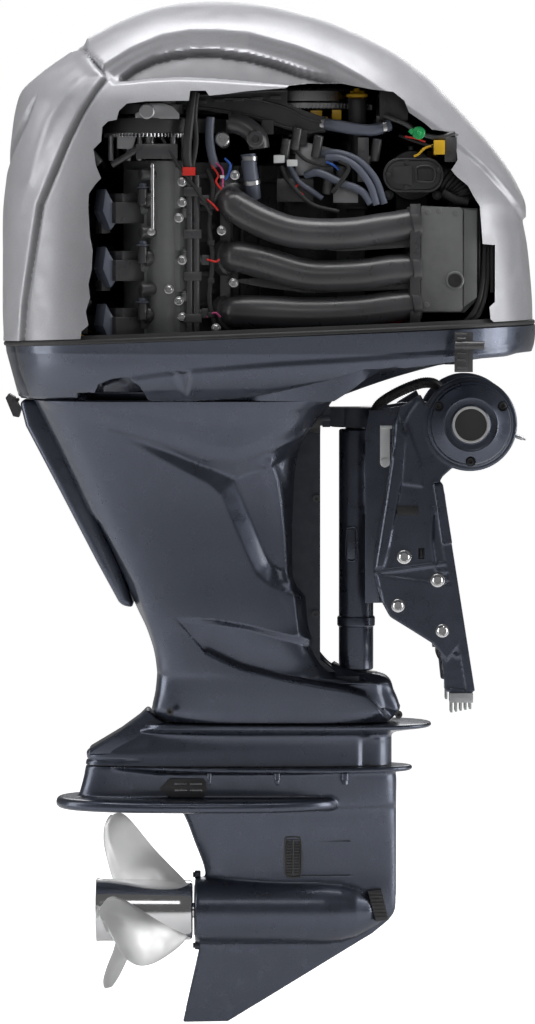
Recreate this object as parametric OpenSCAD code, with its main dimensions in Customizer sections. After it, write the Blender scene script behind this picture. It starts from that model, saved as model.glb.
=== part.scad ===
// Large V6 outboard motor, shown with a service window cut in the starboard side of its top cowl.
// +X points forward (towards the boat), +Y to port and +Z up. The origin is the middle of the tilt
// tube, on the motor's centre plane. All sizes are in millimetres.

/* [Midsection] */
// Distance from the tilt axis to the swivel (steering) axis
swivel_back = 205; // [202:1:208]
// Height of the propeller shaft below the tilt axis
shaft_drop = 908; // [905:1:911]
// Distance from the tilt axis back to the crankshaft and driveshaft axis
crank_back = 309; // [306:1:312]

/* [Transom bracket] */
// Lean of the transom face from vertical, in degrees
transom_lean = 9; // [7:0.5:11]
// Spacing of the upper pair of transom bolts
upper_bolt_span = 327; // [320:1:330]
// Spacing of the lower pair of transom bolts
lower_bolt_span = 250.8; // [248:0.4:254]
// Distance between the upper and lower transom bolts, along the face
bolt_rise = 203.2; // [195:0.2:210]
// Radius of the transom bolt holes
bolt_hole_r = 6.5; // [6:0.25:7]
// Bore radius of the tilt tube
tilt_bore_r = 8; // [7:0.5:9]

/* [Cowls] */
// Full width of the cowls
cowl_width = 634; // [626:2:642]
// Wall thickness of the top cowl
cowl_wall = 6; // [5:0.5:8]

/* [Propeller] */
// Diameter of the propeller
prop_diameter = 374; // [360:2:380]
// Number of blades
blades = 3; // [3:1:4]

/* [Gears] */
// Teeth on the driveshaft pinion
pinion_teeth = 12; // [12:1:12]
// Teeth on the driven gear
driven_teeth = 21; // [21:1:21]

/* [Hidden] */
$fn = 48;
eps = 0.5;

navy = [0.24, 0.27, 0.33];
dark_navy = [0.12, 0.14, 0.19];
silver = [0.72, 0.72, 0.76];
black = [0.08, 0.08, 0.09];
steel = [0.75, 0.75, 0.76];
grey = [0.45, 0.46, 0.48];

swivel_x = -swivel_back;
crank_x = -crank_back;
shaft_z = -shaft_drop;
half_w = cowl_width / 2;

// The seam between the cowls rises forward: its height at the tilt axis, and its slope.
seam_z = 175;
seam_slope = 0.0405;
function seam(x) = seam_z + seam_slope * x;

// ---------------------------------------------------------------- helpers

// A side-view outline [x, z] extruded from y0 to y1.
module side(points, y0, y1) {
  translate([0, y1, 0]) rotate([90, 0, 0]) linear_extrude(y1 - y0) polygon(points);
}

// The same plate on both sides of the centre plane.
module both_sides() {
  children();
  mirror([0, 1, 0]) children();
}

// A plan-view superellipse ring of points.
function ring(x0, x1, w, e = 2.4, n = 40) = [
  for (i = [0 : n - 1]) let (
    t = 360 * i / n, c = cos(t), s = sin(t),
    cx = (x0 + x1) / 2, a = (x1 - x0) / 2
  ) [cx + a * sign(c) * pow(abs(c), 2 / e), w * sign(s) * pow(abs(s), 2 / e)]
];

// One thin plan-view slice of a lofted body: s = [z, x0, x1, half width].
module slice(s, e, inset = 0) {
  translate([0, 0, s[0]]) linear_extrude(eps)
    polygon(ring(s[1] + inset, s[2] - inset, s[3] - inset, e));
}

// A body lofted through slices, bottom to top.
module loft(sections, e = 2.4, inset = 0) {
  for (i = [0 : len(sections) - 2]) hull() {
    slice(sections[i], e, inset);
    slice(sections[i + 1], e, inset);
  }
}

// A cylinder along Y, centred on y = 0.
module across(r, len) {
  rotate([90, 0, 0]) cylinder(r = r, h = len, center = true);
}

// A hexagonal bolt head with its washer, standing on z = 0.
module hex_head(r = 9, h = 7, washer = 13) {
  cylinder(r = washer, h = 2.5);
  translate([0, 0, 2.5]) cylinder(r = r, h = h, $fn = 6);
}

// A tube with closed rings swept along points, as one polyhedron.
function unit(v) = v / norm(v);
function tangent(p, i) = unit(p[min(i + 1, len(p) - 1)] - p[max(i - 1, 0)]);
module sweep(p, r, sides = 10) {
  n = len(p);
  up = [0.11, 0.19, 1];
  pts = [for (i = [0 : n - 1]) let (t = tangent(p, i), a = unit(cross(t, up)), b = cross(a, t))
    for (k = [0 : sides - 1]) p[i] + r * (cos(360 * k / sides) * a + sin(360 * k / sides) * b)];
  walls = [for (i = [0 : n - 2], k = [0 : sides - 1]) let (q = (k + 1) % sides)
    [i * sides + k, i * sides + q, (i + 1) * sides + q, (i + 1) * sides + k]];
  ends = [[for (k = [sides - 1 : -1 : 0]) k], [for (k = [0 : sides - 1]) (n - 1) * sides + k]];
  polyhedron(pts, concat(walls, ends));
}

// Points of a smooth curve through hand-picked ones.
function spline_at(p, i, t) = let (
    a = p[max(i - 1, 0)], b = p[i], c = p[i + 1], d = p[min(i + 2, len(p) - 1)]
  ) 0.5 * (2 * b + (c - a) * t + (2 * a - 5 * b + 4 * c - d) * t * t
    + (3 * b - 3 * c + d - a) * t * t * t);
function spline(p, steps = 4) = concat(
  [for (i = [0 : len(p) - 2], k = [0 : steps - 1]) spline_at(p, i, k / steps)], [p[len(p) - 1]]);

// ---------------------------------------------------------------- transom brackets

bracket_y0 = 128;
bracket_y1 = 150;
boss_r = 86;
flange_t = 16;
tube_r = 16;
flange_top = [-50, -107];
upper_bolt_drop = 42;

// The flange's own frame: x along the outward normal, z up along the face.
module on_face(y, down) {
  translate([flange_top[0], y, flange_top[1]]) rotate([0, -transom_lean, 0])
    translate([0, 0, -down]) children();
}

bracket_outline = [
  [-90, 54], [-128, 30], [-143, -56], [-156, -135], [-175, -236], [-175, -283], [-161, -324],
  [-148, -348], [-107, -375], [-70, -398], [-46, -435], [-40, -488], [-12, -499], [8, -492],
  [-50, -112], [-62, -100]
];

module clamp_bracket() {
  difference() {
    union() {
      side(bracket_outline, bracket_y0, bracket_y1);
      translate([0, (bracket_y0 + bracket_y1) / 2, 0]) across(boss_r, bracket_y1 - bracket_y0);
      // bolt flange against the transom, wide at the top
      on_face(0, 0) translate([-flange_t, bracket_y0 - 6, -110]) cube([flange_t, 68, 110]);
      on_face(0, 0) translate([-flange_t, bracket_y0 - 22, -385]) cube([flange_t, 46, 300]);
      // stiffening rib down the outer face
      side([[-148, -150], [-132, -150], [-152, -236], [-152, -283], [-142, -306], [-156, -306],
        [-168, -283], [-168, -236]], bracket_y1 - 2, bracket_y1 + 5);
    }
    across(tube_r + 0.05, 400);
    for (d = [upper_bolt_drop, upper_bolt_drop + bolt_rise])
      on_face(d == upper_bolt_drop ? upper_bolt_span / 2 : lower_bolt_span / 2, d)
        rotate([0, 90, 0]) cylinder(r = bolt_hole_r, h = 80, center = true);
    // pockets for the heads of the lower transom bolts
    on_face(lower_bolt_span / 2, upper_bolt_drop + bolt_rise)
      translate([-60, 0, 0]) rotate([0, 90, 0]) cylinder(r = 15, h = 60 - flange_t);
    // slot for the trim-limit pin
    for (z = [-230, -242]) translate([-88, bracket_y1, z]) across(5.5, 90);
    translate([-93.5, bracket_y1 - 45, -242]) cube([11, 90, 12]);
  }
}

module port_clamp_bracket() { color(navy) clamp_bracket(); }
module starboard_clamp_bracket() { color(navy) mirror([0, 1, 0]) clamp_bracket(); }

module tilt_tube() {
  color(steel) difference() {
    translate([0, 14, 0]) across(tube_r, 356);
    translate([0, 14, 0]) across(tilt_bore_r, 400);
  }
}

module tilt_tube_nut() {
  color(steel) translate([0, bracket_y1 + 0.2, 0]) rotate([-90, 0, 0]) difference() {
    union() {
      cylinder(r = 34, h = 4);
      translate([0, 0, 4]) cylinder(r = 27, h = 20, $fn = 6);
    }
    translate([0, 0, -1]) cylinder(r = tube_r, h = 40);
  }
}

cover_r = 78;
module tilt_axis_cover() {
  color(navy) translate([0, -bracket_y1 - 0.2, 0]) rotate([90, 0, 0]) difference() {
    rotate_extrude() polygon([
      [0, 0], [cover_r, 0], [cover_r, 14], [cover_r - 6, 22], [48, 33], [46, 29], [32, 29],
      [30, 33], [0, 33]
    ]);
    translate([0, 0, -1]) cylinder(r = tube_r + 4, h = 22);
    for (a = [30, 150, 270]) rotate(a) translate([cover_r - 11, 0, 12]) cylinder(r = 9, h = 30);
  }
}

module cover_screws() {
  color(black) translate([0, -bracket_y1 - 0.2, 0]) rotate([90, 0, 0])
    for (a = [30, 150, 270]) rotate(a) translate([cover_r - 11, 0, 12]) difference() {
      cylinder(r = 7.5, h = 8);
      translate([0, 0, 3]) cylinder(r = 3.5, h = 6, $fn = 6);
    }
}

side_bolts = [[-120, -242], [-59, -285], [-131, -331], [-50, -377]];
module bracket_bolts() {
  color(steel) both_sides() for (p = side_bolts)
    translate([p[0], bracket_y1, p[1]])
      rotate([-90, 0, 0]) hex_head();
}

tie_z = -462;
tie_x = -30;
module bracket_spacer() {
  color(dark_navy) translate([tie_x, 0, tie_z]) difference() {
    across(13, 2 * bracket_y0);
    across(6, 400);
  }
}

pivot_a = [-38, -425];
pivot_b = [-90, 0];
module trim_unit() {
  color(black) difference() {
    union() {
      side([[-112, -372], [-66, -400], [-22, -440], [-8, -430], [-30, -330], [-112, -330]], -100, 100);
      for (y = [-62, 62]) translate([-72, y, -335]) cylinder(r = 26, h = 175);
      translate([-72, 62, -160]) cylinder(r = 14, h = 18);
      translate([-72, -62, -160]) cylinder(r = 20, h = 12);
      for (y = [-48, 48]) translate([pivot_a[0], y, pivot_a[1]]) across(16, 22);
    }
    // slot for the tilt cylinder
    translate([-120, -34, -500]) cube([160, 68, 400]);
  }
  color(steel) translate([pivot_a[0], 0, pivot_a[1]]) across(7, 2 * bracket_y0);
}

module bracket_anode() {
  color(steel) for (s = [-1, 1]) translate([0, s * (bracket_y0 + 11), 0]) union() {
    side([[-38, -501], [4, -501], [8, -522], [-32, -522]], -22, 22);
    for (x = [-30, -18, -6]) translate([x, -20, -534]) cube([6, 40, 14]);
  }
}

// ---------------------------------------------------------------- tilt cylinder

pivot_dx = pivot_b[0] - pivot_a[0];
pivot_dz = pivot_b[1] - pivot_a[1];
cyl_len = norm([pivot_dx, pivot_dz]);
cyl_lean = atan2(pivot_dx, pivot_dz);
module along_cylinder() {
  translate([pivot_a[0], 0, pivot_a[1]]) rotate([0, cyl_lean, 0]) children();
}

module trim_cylinder() {
  color(black) along_cylinder() difference() {
    union() {
      across(20, 56);
      translate([0, 0, 10]) cylinder(r = 25, h = 230);
      translate([0, 0, 240]) cylinder(r = 22, h = 10);
    }
    across(7.05, 80);
    translate([0, 0, 30]) cylinder(r = 19, h = 205);
    translate([0, 0, 200]) cylinder(r = 10.05, h = 60);
  }
}

eye_z = cyl_len;
module trim_rod() {
  color(steel) along_cylinder() {
    translate([0, 0, 105]) cylinder(r = 18.95, h = 22);
    translate([0, 0, 127]) cylinder(r = 10, h = eye_z - 127 - 22);
    // slotted eye: the open pivot
    translate([0, 0, eye_z]) rotate([90, 0, 0]) difference() {
      translate([-25, -24, -12]) cube([50, 48, 24]);
      translate([-16, -15, -20]) cube([32, 30, 40]);
    }
  }
}

// ---------------------------------------------------------------- swivel bracket

swivel_top = -12;
swivel_bottom = -462;
column_r = 32;
shaft_r = 20;
wall_outline = [
  [-190, -16], [-182, 22], [-120, 32], [-40, 34], [26, 22], [30, -18], [-20, -60],
  [-100, -120], [-140, -230], [-165, -330], [-190, -330]
];

module swivel_bracket() {
  color(dark_navy) difference() {
    union() {
      translate([swivel_x, 0, swivel_bottom]) cylinder(r = column_r, h = swivel_top - swivel_bottom);
      both_sides() side(wall_outline, 80, 96);
      // webs from the column out to the walls
      for (z = [-60, -190, -330]) translate([-191, -96, z]) cube([34, 192, 20]);
      translate([swivel_x, -18, -330]) cube([30, 36, 300]);
      both_sides() translate([0, 99, 0]) across(34, 54);
      // pin for the tilt rod
      translate([pivot_b[0], 0, pivot_b[1]]) across(7, 170);
    }
    across(tube_r + 4.05, 400);
    translate([swivel_x, 0, -500]) cylinder(r = shaft_r + 4, h = 500);
  }
}

module swivel_bushes() {
  color([0.7, 0.6, 0.4]) {
    both_sides() translate([0, 99, 0]) difference() {
      across(tube_r + 4.05, 54);
      across(tube_r + 0.05, 60);
    }
    for (z = [-60, swivel_bottom + 6]) translate([swivel_x, 0, z]) difference() {
      cylinder(r = shaft_r + 4, h = 42);
      translate([0, 0, -1]) cylinder(r = shaft_r + 0.05, h = 50);
    }
  }
}

conduit_path = [
  [-150, -60, 36], [-152, -62, 52], [-140, -66, 70], [-118, -68, 82], [-92, -70, 88],
  [-66, -70, 84], [-50, -68, 66], [-46, -66, 44]
];
module wiring_conduit() {
  color(black) sweep(spline(conduit_path, 3), 8, 10);
}

lever_pivot = [-154, -84];
module tilt_support_lever() {
  color(steel) translate([lever_pivot[0], -96.3, lever_pivot[1]]) rotate([90, 0, 0]) {
    linear_extrude(5) polygon([[-9, 0], [-9, 72], [9, 72], [9, 0], [6, -8], [-6, -8]]);
    translate([0, 0, 5]) cylinder(r = 7, h = 5);
    translate([-9, 66, 0]) cube([18, 6, 14]);
  }
}

// ---------------------------------------------------------------- steered leg

steer_tube_bottom = -503;
module steering_yoke() {
  color(dark_navy) {
    difference() {
      union() {
        translate([swivel_x, 0, steer_tube_bottom])
          cylinder(r = shaft_r, h = swivel_top - steer_tube_bottom + 2);
        translate([swivel_x, 0, swivel_top + 2]) cylinder(r = 46, h = 36);
        side([[-268, -8], [-170, -8], [-166, 6], [-176, 26], [-268, 26]], -40, 40);
        for (y = [-66, 66]) translate([-300, y, 9]) rotate([0, 90, 0]) cylinder(r = 15, h = 46);
        translate([-268, -80, -8]) cube([14, 160, 34]);
      }
      translate([swivel_x, 0, -600]) cylinder(r = 10, h = 700);
    }
  }
}

module lower_yoke() {
  color(dark_navy) difference() {
    union() {
      translate([swivel_x, 0, -500]) cylinder(r = 40, h = 36);
      side([[-262, -500], [-200, -500], [-200, -468], [-262, -468]], -60, 60);
      for (y = [-48, 48]) translate([-300, y, -484]) rotate([0, 90, 0]) cylinder(r = 12, h = 50);
    }
    translate([swivel_x, 0, -600]) cylinder(r = shaft_r, h = 200);
  }
}

module mount_rubbers() {
  color(black) {
    for (y = [-66, 66]) translate([-340, y, 9]) rotate([0, 90, 0]) difference() {
      cylinder(r = 28, h = 68);
      translate([0, 0, -1]) cylinder(r = 15, h = 80);
    }
    for (y = [-48, 48]) translate([-336, y, -484]) rotate([0, 90, 0]) difference() {
      cylinder(r = 22, h = 70);
      translate([0, 0, -1]) cylinder(r = 12, h = 80);
    }
  }
}

lower_cowl_outline = [
  [-853, seam(-853)], [-841, 91], [-826, 44], [-250, 44], [-222, 62], [-196, 82], [-166, 102],
  [-87, 105], [22, 122], [104, 128], [124, 141], [126, seam(126)]
];
lower_cowl_sections = [
  [40, -827, -150, 206], [70, -834, -40, 246], [100, -842, 60, 276], [130, -850, 120, 294],
  [200, -858, 127, half_w - 9]
];
module lower_cowl() {
  color(navy) difference() {
    intersection() {
      loft(lower_cowl_sections, 2.8);
      side(lower_cowl_outline, -400, 400);
    }
    intersection() {
      loft(lower_cowl_sections, 2.8, 8);
      side([[-845, 300], [-840, 53], [-250, 53], [-166, 112], [104, 138], [116, 300]], -400, 400);
    }
    // opening for the leg, and a recessed carrying grip on each side
    translate([-645, -75, -100]) cube([355, 150, 200]);
    both_sides() translate([-690, 262, 62]) rotate([0, 90, 0]) cylinder(r = 26, h = 60);
  }
}

module seam_loop(z, w, inset, rise, e = 2.8) {
  multmatrix([[1, 0, 0, 0], [0, 1, 0, 0], [seam_slope, 0, 1, seam_z + z], [0, 0, 0, 1]])
    linear_extrude(rise) difference() {
      polygon(ring(-858 + inset, 126 - inset, half_w - 9 - inset, e, 64));
      polygon(ring(-858 + inset + w, 126 - inset - w, half_w - 9 - inset - w, e, 64));
    }
}

module cowl_seal() {
  color(black) {
    seam_loop(0.3, 24, 3, 9);
    seam_loop(-8, 4, 22, 8.4);
  }
}

module exhaust_housing() {
  color(dark_navy) difference() {
    union() {
      side([[-700, 36], [-640, 36], [-640, 52.8], [-320, 52.8], [-320, 36], [-272, 36],
        [-272, -438], [-180, -508], [-180, -553], [-540, -553], [-546, -460], [-580, -350],
        [-680, -150]], -58, 58);
      translate([-640, -84, 31]) cube([330, 168, 12.8]);
    }
    translate([crank_x, 0, -600]) cylinder(r = 17, h = 700);
    // seats of the rubber mounts and the yoke studs
    for (y = [-66, 66]) translate([-342, y, 9]) rotate([0, 90, 0]) cylinder(r = 28.2, h = 100);
    for (y = [-48, 48]) translate([-338, y, -484]) rotate([0, 90, 0]) cylinder(r = 22.2, h = 76);
    translate([-268, -90, -505]) cube([120, 180, 45]);
    // exhaust passage
    translate([-560, -38, -560]) cube([190, 76, 700]);
  }
}

// The leg cover: [z, x0, x1, half width], bottom to top.
leg_sections = [
  [-552, -560, -142, 88], [-528, -590, -124, 94], [-500, -584, -134, 98], [-470, -580, -152, 101],
  [-456, -580, -225, 102], [-430, -584, -262, 104], [-390, -598, -284, 107],
  [-346, -619, -292, 112], [-257, -658, -296, 120], [-150, -708, -296, 134],
  [-60, -750, -290, 156], [0, -779, -272, 178], [43, -799, -248, 200]
];
// The hollow inside runs out through the top, the bottom and the front edge.
leg_inner = [for (s = leg_sections)
  [s[0] < -550 ? s[0] - 3 : s[0] > 40 ? s[0] + 3 : s[0], s[1], s[2] + 8, s[3]]];
module apron_half() {
  difference() {
    intersection() {
      loft(leg_sections, 2.6);
      translate([-900, 0.4, -700]) cube([900, 400, 900]);
    }
    loft(leg_inner, 2.6, 5);
    // open front edge, clear of the mounts and the swivel bracket
    translate([-306, -1, -445]) cube([300, 62, 700]);
    translate([-340, -1, -60]) cube([300, 100, 150]);
    translate([-620, -1, -600]) cube([800, 62, 80]);
    translate([-400, -1, -520]) cube([400, 62, 90]);
  }
}
module port_apron() { color(navy) apron_half(); }
module starboard_apron() { color(navy) mirror([0, 1, 0]) apron_half(); }

module rear_apron() {
  color(navy) difference() {
    side([[-826, 41], [-803, 41], [-752, -67], [-660, -262], [-624, -344], [-640, -338],
      [-684, -257], [-758, -114], [-814, -7]], -52, 52);
    side([[-812, 60], [-790, 60], [-672, -256], [-690, -240], [-800, -10]], -44, 44);
  }
}

apron_screw_spots = [[-279, -140], [-281, -353], [-548, -530], [-128, -536]];
module apron_screws() {
  color(black) both_sides() {
    for (p = apron_screw_spots) translate([p[0], p[0] > -260 ? 84 : p[0] < -500 ? 91 : 58.2, p[1]])
      rotate([-90, 0, 0]) difference() {
        cylinder(r = 7, h = p[0] > -260 || p[0] < -500 ? 8 : 6);
        translate([0, 0, 3]) cylinder(r = 3.2, h = 8, $fn = 6);
      }
  }
}

// ---------------------------------------------------------------- lower unit

module upper_case() {
  color(navy) difference() {
    union() {
      loft([[-634, -706, -139, 62], [-609, -700, -139, 62], [-586, -664, -139, 62],
        [-568, -634, -139, 62], [-556, -600, -139, 62]], 2.4);
      loft([[-568, -590, -66, 104], [-562, -560, -68, 106], [-555.5, -555, -74, 104]], 2.2);
      for (i = [0 : 1]) hull() {
        translate([-606 + 6 * i, 0, -556]) cylinder(r = 5, h = 12);
        translate([-588, 0, -556]) cylinder(r = 5, h = 30);
      }
    }
    translate([crank_x, 0, -700]) cylinder(r = 17, h = 300);
    translate([-540, -34, -600]) cube([170, 68, 60]);
  }
}

torpedo_r = 62;
grille_y = 54;
grille_outline = [[-570, -674], [-553, -656], [-484, -656], [-480, -660], [-481, -691], [-553, -693]];
module gearcase() {
  color(navy) difference() {
    union() {
      // upper body under the seam, and the seam flange
      loft([[-700, -722, -130, 56], [-660, -710, -130, 60], [-635.5, -706, -136, 62]], 2.4);
      loft([[-646, -640, -104, 82], [-636, -688, -102, 84]], 2.2);
      // anti-ventilation plate
      loft([[-717, -756, -236, 124], [-706, -762, -229, 126], [-694, -756, -236, 118]], 2.6);
      // strut
      loft([[-960, -488, -150, 34], [-908, -488, -130, 42], [-830, -486, -130, 40],
        [-780, -505, -130, 42], [-740, -522, -130, 46], [-700, -545, -130, 52]], 2.2);
      // torpedo and its nose
      translate([-497, 0, shaft_z]) rotate([0, 90, 0]) cylinder(r = torpedo_r, h = 230);
      for (i = [0 : 3]) hull() {
        translate([-268 + i * 27, 0, shaft_z]) rotate([0, 90, 0])
          cylinder(r = torpedo_r * sqrt(1 - pow(i / 4.2, 2)), h = eps, $fn = 32);
        translate([-241 + i * 27, 0, shaft_z]) rotate([0, 90, 0])
          cylinder(r = torpedo_r * sqrt(1 - pow((i + 1) / 4.2, 2)), h = eps, $fn = 32);
      }
      // skeg
      hull() {
        side([[-486, -940], [-178, -950], [-143, -926]], -9, 9);
        side([[-528, -1118], [-443, -1116], [-480, -1070]], -5, 5);
      }
    }
    // driveshaft, gear chamber and the bearing carrier's bore
    translate([crank_x, 0, -860]) cylinder(r = 17, h = 400);
    translate([crank_x, 0, -895]) cylinder(r = 32, h = 45);
    translate([-520, 0, shaft_z]) rotate([0, 90, 0]) cylinder(r = 50, h = 300);
    translate([-300, 0, shaft_z]) rotate([0, 90, 0]) cylinder(r = 16, h = 110);
    // water inlet pockets, and the louvre's seat
    both_sides() {
      side(grille_outline, grille_y - 0.2, grille_y + 26);
      translate([-322, 34, -804]) cube([32, 30, 76], center = true);
      translate([-163, 20, -895]) rotate([0, -9, 0]) cube([22, 16, 56], center = true);
    }
  }
}

module water_inlet_grilles() {
  color(black) both_sides() {
    translate([-322, 0, -804]) difference() {
      translate([-15, 19.2, -37]) cube([30, 24, 74]);
      for (i = [0 : 10]) translate([-12, 38, -33 + 6 * i]) cube([24, 8, 3]);
    }
    side(grille_outline, grille_y, grille_y + 8);
  }
}

module bearing_carrier() {
  color(navy) translate([-497.2, 0, shaft_z]) rotate([0, 90, 0]) difference() {
    union() {
      cylinder(r = 49.8, h = 90);
      translate([0, 0, -8]) cylinder(r = 64, h = 8);
      for (a = [0, 180]) rotate(a) translate([62, 0, -8]) cylinder(r = 9, h = 8);
    }
    translate([0, 0, -20]) cylinder(r = 15.05, h = 200);
  }
}

// ---------------------------------------------------------------- powerhead

bank_angle = 30;
cam_out = 320;
cam_x = crank_x - cam_out * cos(bank_angle);
cam_y = cam_out * sin(bank_angle);
block_z0 = 80;
block_z1 = 470;

// Works in a bank's own frame: +X out along the cylinders, from the crankshaft.
module bank(side_sign) {
  translate([crank_x, 0, 0]) mirror([0, side_sign < 0 ? 1 : 0, 0]) rotate(180 - bank_angle) children();
}

module cylinder_block() {
  color(black) difference() {
    union() {
      translate([crank_x, 0, block_z0]) cylinder(r = 96, h = block_z1 + 3 - block_z0);
      for (s = [-1, 1]) bank(s) translate([40, -66, block_z0]) cube([142, 132, block_z1 - block_z0]);
      translate([crank_x - 10, -70, block_z0 + 30]) cube([130, 140, block_z1 - block_z0 - 70]);
      translate([-450, -110, 53]) cube([198, 220, block_z0 - 52]);
      translate([crank_x, 0, block_z1]) cylinder(r = 60, h = 24);
    }
    translate([crank_x, 0, 40]) cylinder(r = 26.05, h = 500);
    // crank throws' room and the cylinders
    translate([crank_x, 0, 120]) cylinder(r = 78, h = 320);
    for (s = [-1, 1], z = [150, 275, 400]) bank(s)
      translate([60, 0, z + 6 * s]) rotate([0, 90, 0]) cylinder(r = 47, h = 130);
  }
}

module cylinder_heads() {
  color(grey) for (s = [-1, 1]) bank(s) difference() {
    translate([182.3, -72, block_z0]) cube([86, 144, 396]);
    // cam bores and combustion chambers
    for (y = [-32, 32]) translate([242, y, 40]) cylinder(r = 16, h = 500);
    for (z = [150, 275, 400]) translate([180, 0, z + 6 * s]) rotate([0, 90, 0])
      cylinder(r1 = 44, r2 = 26, h = 22);
  }
}

module cam_covers() {
  color([0.2, 0.2, 0.21]) for (s = [-1, 1]) bank(s) difference() {
    union() {
      translate([268.6, -76, block_z0 - 4]) cube([44, 152, 404]);
      for (z = [96, 168, 240, 312, 384, 456]) translate([268.6, -80, z]) cube([40, 8, 16]);
    }
    translate([268, -68, block_z0 + 4]) cube([36, 136, 388]);
  }
}

coil_z = [176, 283, 386];
module ignition_coils() {
  color(black) for (s = [-1, 1], z = coil_z) bank(s) {
    translate([313, -22, z - 27]) cube([30, 44, 54]);
    translate([343, -14, z - 20]) cube([12, 26, 40]);
    translate([313, 28, z + 18]) rotate([0, 90, 0]) cylinder(r = 8, h = 22);
  }
}

runner_r = 29;
runners = [
  [[-446, 418], [-426, 396], [-378, 368], [-318, 349], [-233, 346], [-160, 356], [-100, 366]],
  [[-446, 302], [-420, 304], [-376, 294], [-296, 272], [-210, 272], [-150, 280], [-100, 284]],
  [[-446, 202], [-420, 206], [-370, 206], [-296, 203], [-210, 206], [-150, 214], [-100, 220]]
];
module intake_runners() {
  color(black) both_sides() for (r = runners)
    sweep(spline([for (i = [0 : 6]) [r[i][0], [184, 208, 222, 226, 222, 212, 200][i], r[i][1]]], 3),
      runner_r, 12);
}

module surge_tank() {
  color(grey) difference() {
    both_sides() difference() {
      hull() {
        side([[-92, 200], [-8, 200], [12, 226], [12, 392], [-92, 398]], 120, 196);
        side([[-92, 204], [-20, 204], [-8, 226], [-8, 388], [-92, 394]], 196, 222);
      }
      translate([-28, 210, 262]) rotate([-90, 0, 0]) cylinder(r = 12, h = 40);
    }
  }
  color(grey) translate([-80, -120.5, 236]) cube([80, 241, 120]);
}

module throttle_body() {
  color(black) difference() {
    union() {
      hull() for (x = [-130, -82]) translate([x, -160, 452]) rotate([90, 0, 0]) cylinder(r = 28, h = 44);
      translate([-106, 0, 452]) rotate([90, 0, 0]) cylinder(r = 46, h = 160);
      translate([-106, 60, 452]) rotate([90, 0, 0]) cylinder(r = 40, h = 60);
      translate([-136, -96, 357]) cube([60, 80, 70]);
    }
    translate([-106, 70, 452]) rotate([90, 0, 0]) cylinder(r = 36, h = 190);
    translate([-106, -60, 400]) cylinder(r = 5.05, h = 110);
    translate([-86, -206, 452]) cube([28, 10, 20], center = true);
  }
}

module throttle_valve() {
  color(steel) translate([-106, -60, 0]) {
    translate([0, 0, 402]) cylinder(r = 5, h = 104);
    translate([0, 0, 452]) across(35.5, 3);
  }
}

rail_x = -510;
rail_y = 220;
module fuel_rails() {
  color(black) both_sides() {
    translate([rail_x, rail_y, 168]) cylinder(r = 8, h = 284);
    translate([rail_x + 13, rail_y, 168]) cylinder(r = 7, h = 284);
    // injectors, and the rail's feet
    for (z = coil_z) translate([rail_x + 18, 190, z - 4]) cube([14, rail_y + 2 - 190, 18]);
    for (z = [196, 300, 372]) translate([rail_x - 24, rail_y + 6, z]) cube([18, 8, 14]);
  }
}

belt_z = 528;
belt_h = 26;
crank_sprocket_r = 38;
cam_sprocket_r = 76;
module belt_loop(grow) {
  hull() {
    translate([crank_x, 0]) circle(r = crank_sprocket_r + grow, $fn = 40);
    for (s = [-1, 1]) translate([cam_x, s * cam_y]) circle(r = cam_sprocket_r + grow, $fn = 56);
  }
}
module timing_belt() {
  color(black) translate([0, 0, belt_z]) linear_extrude(belt_h) difference() {
    belt_loop(5.4);
    belt_loop(0.6);
  }
}

module belt_cover() {
  color(black) difference() {
    union() {
      translate([0, 0, 562]) linear_extrude(34) difference() {
        hull() {
          translate([crank_x + 40, -40]) circle(r = 30);
          for (s = [-1, 1]) translate([cam_x, s * cam_y]) circle(r = 66);
        }
        translate([crank_x, 0]) circle(r = 142, $fn = 72);
      }
      side([[-520, 596], [-440, 604], [-330, 600], [-330, 562], [-520, 562]], -196, -150);
    }
    translate([0, 0, 558]) linear_extrude(30) {
      for (s = [-1, 1]) translate([cam_x, s * cam_y]) circle(r = 58);
    }
    translate([crank_x, 0, 540]) cylinder(r = 142, h = 100);
  }
}

filler_x = -206;
filler_y = -118;
module oil_filler_tube() {
  color(black) translate([filler_x, filler_y, 0]) {
    difference() {
      union() {
        translate([0, 0, 470]) cylinder(r = 12, h = 80);
        translate([0, 0, 548]) cylinder(r = 17, h = 46);
      }
      translate([0, 0, 560]) cylinder(r = 13, h = 50);
    }
  }
}

module oil_filler_cap() {
  color([0.95, 0.7, 0.1]) translate([filler_x, filler_y, 0]) {
    translate([0, 0, 594.3]) cylinder(r = 20, h = 5);
    translate([0, 0, 575]) cylinder(r = 12.5, h = 20);
    translate([-13, -3, 599]) cube([26, 6, 12]);
  }
}

hose_routes = [
  [[[-300, -168, 556], [-250, -178, 542], [-200, -184, 534], [-160, -180, 534], [-128, -170, 545]], 11],
  [[[-404, -176, 480], [-400, -180, 450], [-394, -176, 415], [-390, -160, 395]], 15],
  [[[-270, -176, 470], [-220, -190, 466], [-185, -196, 440], [-168, -200, 400]], 6.5],
  [[[-262, -190, 462], [-215, -204, 452], [-192, -210, 425], [-182, -212, 395]], 6.5],
  [[[-310, -176, 430], [-270, -186, 420], [-240, -196, 405], [-212, -200, 388]], 6.5]
];
module engine_hoses() {
  color([0.3, 0.31, 0.36]) for (h = hose_routes) sweep(spline(h[0], 4), h[1], 10);
}

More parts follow.
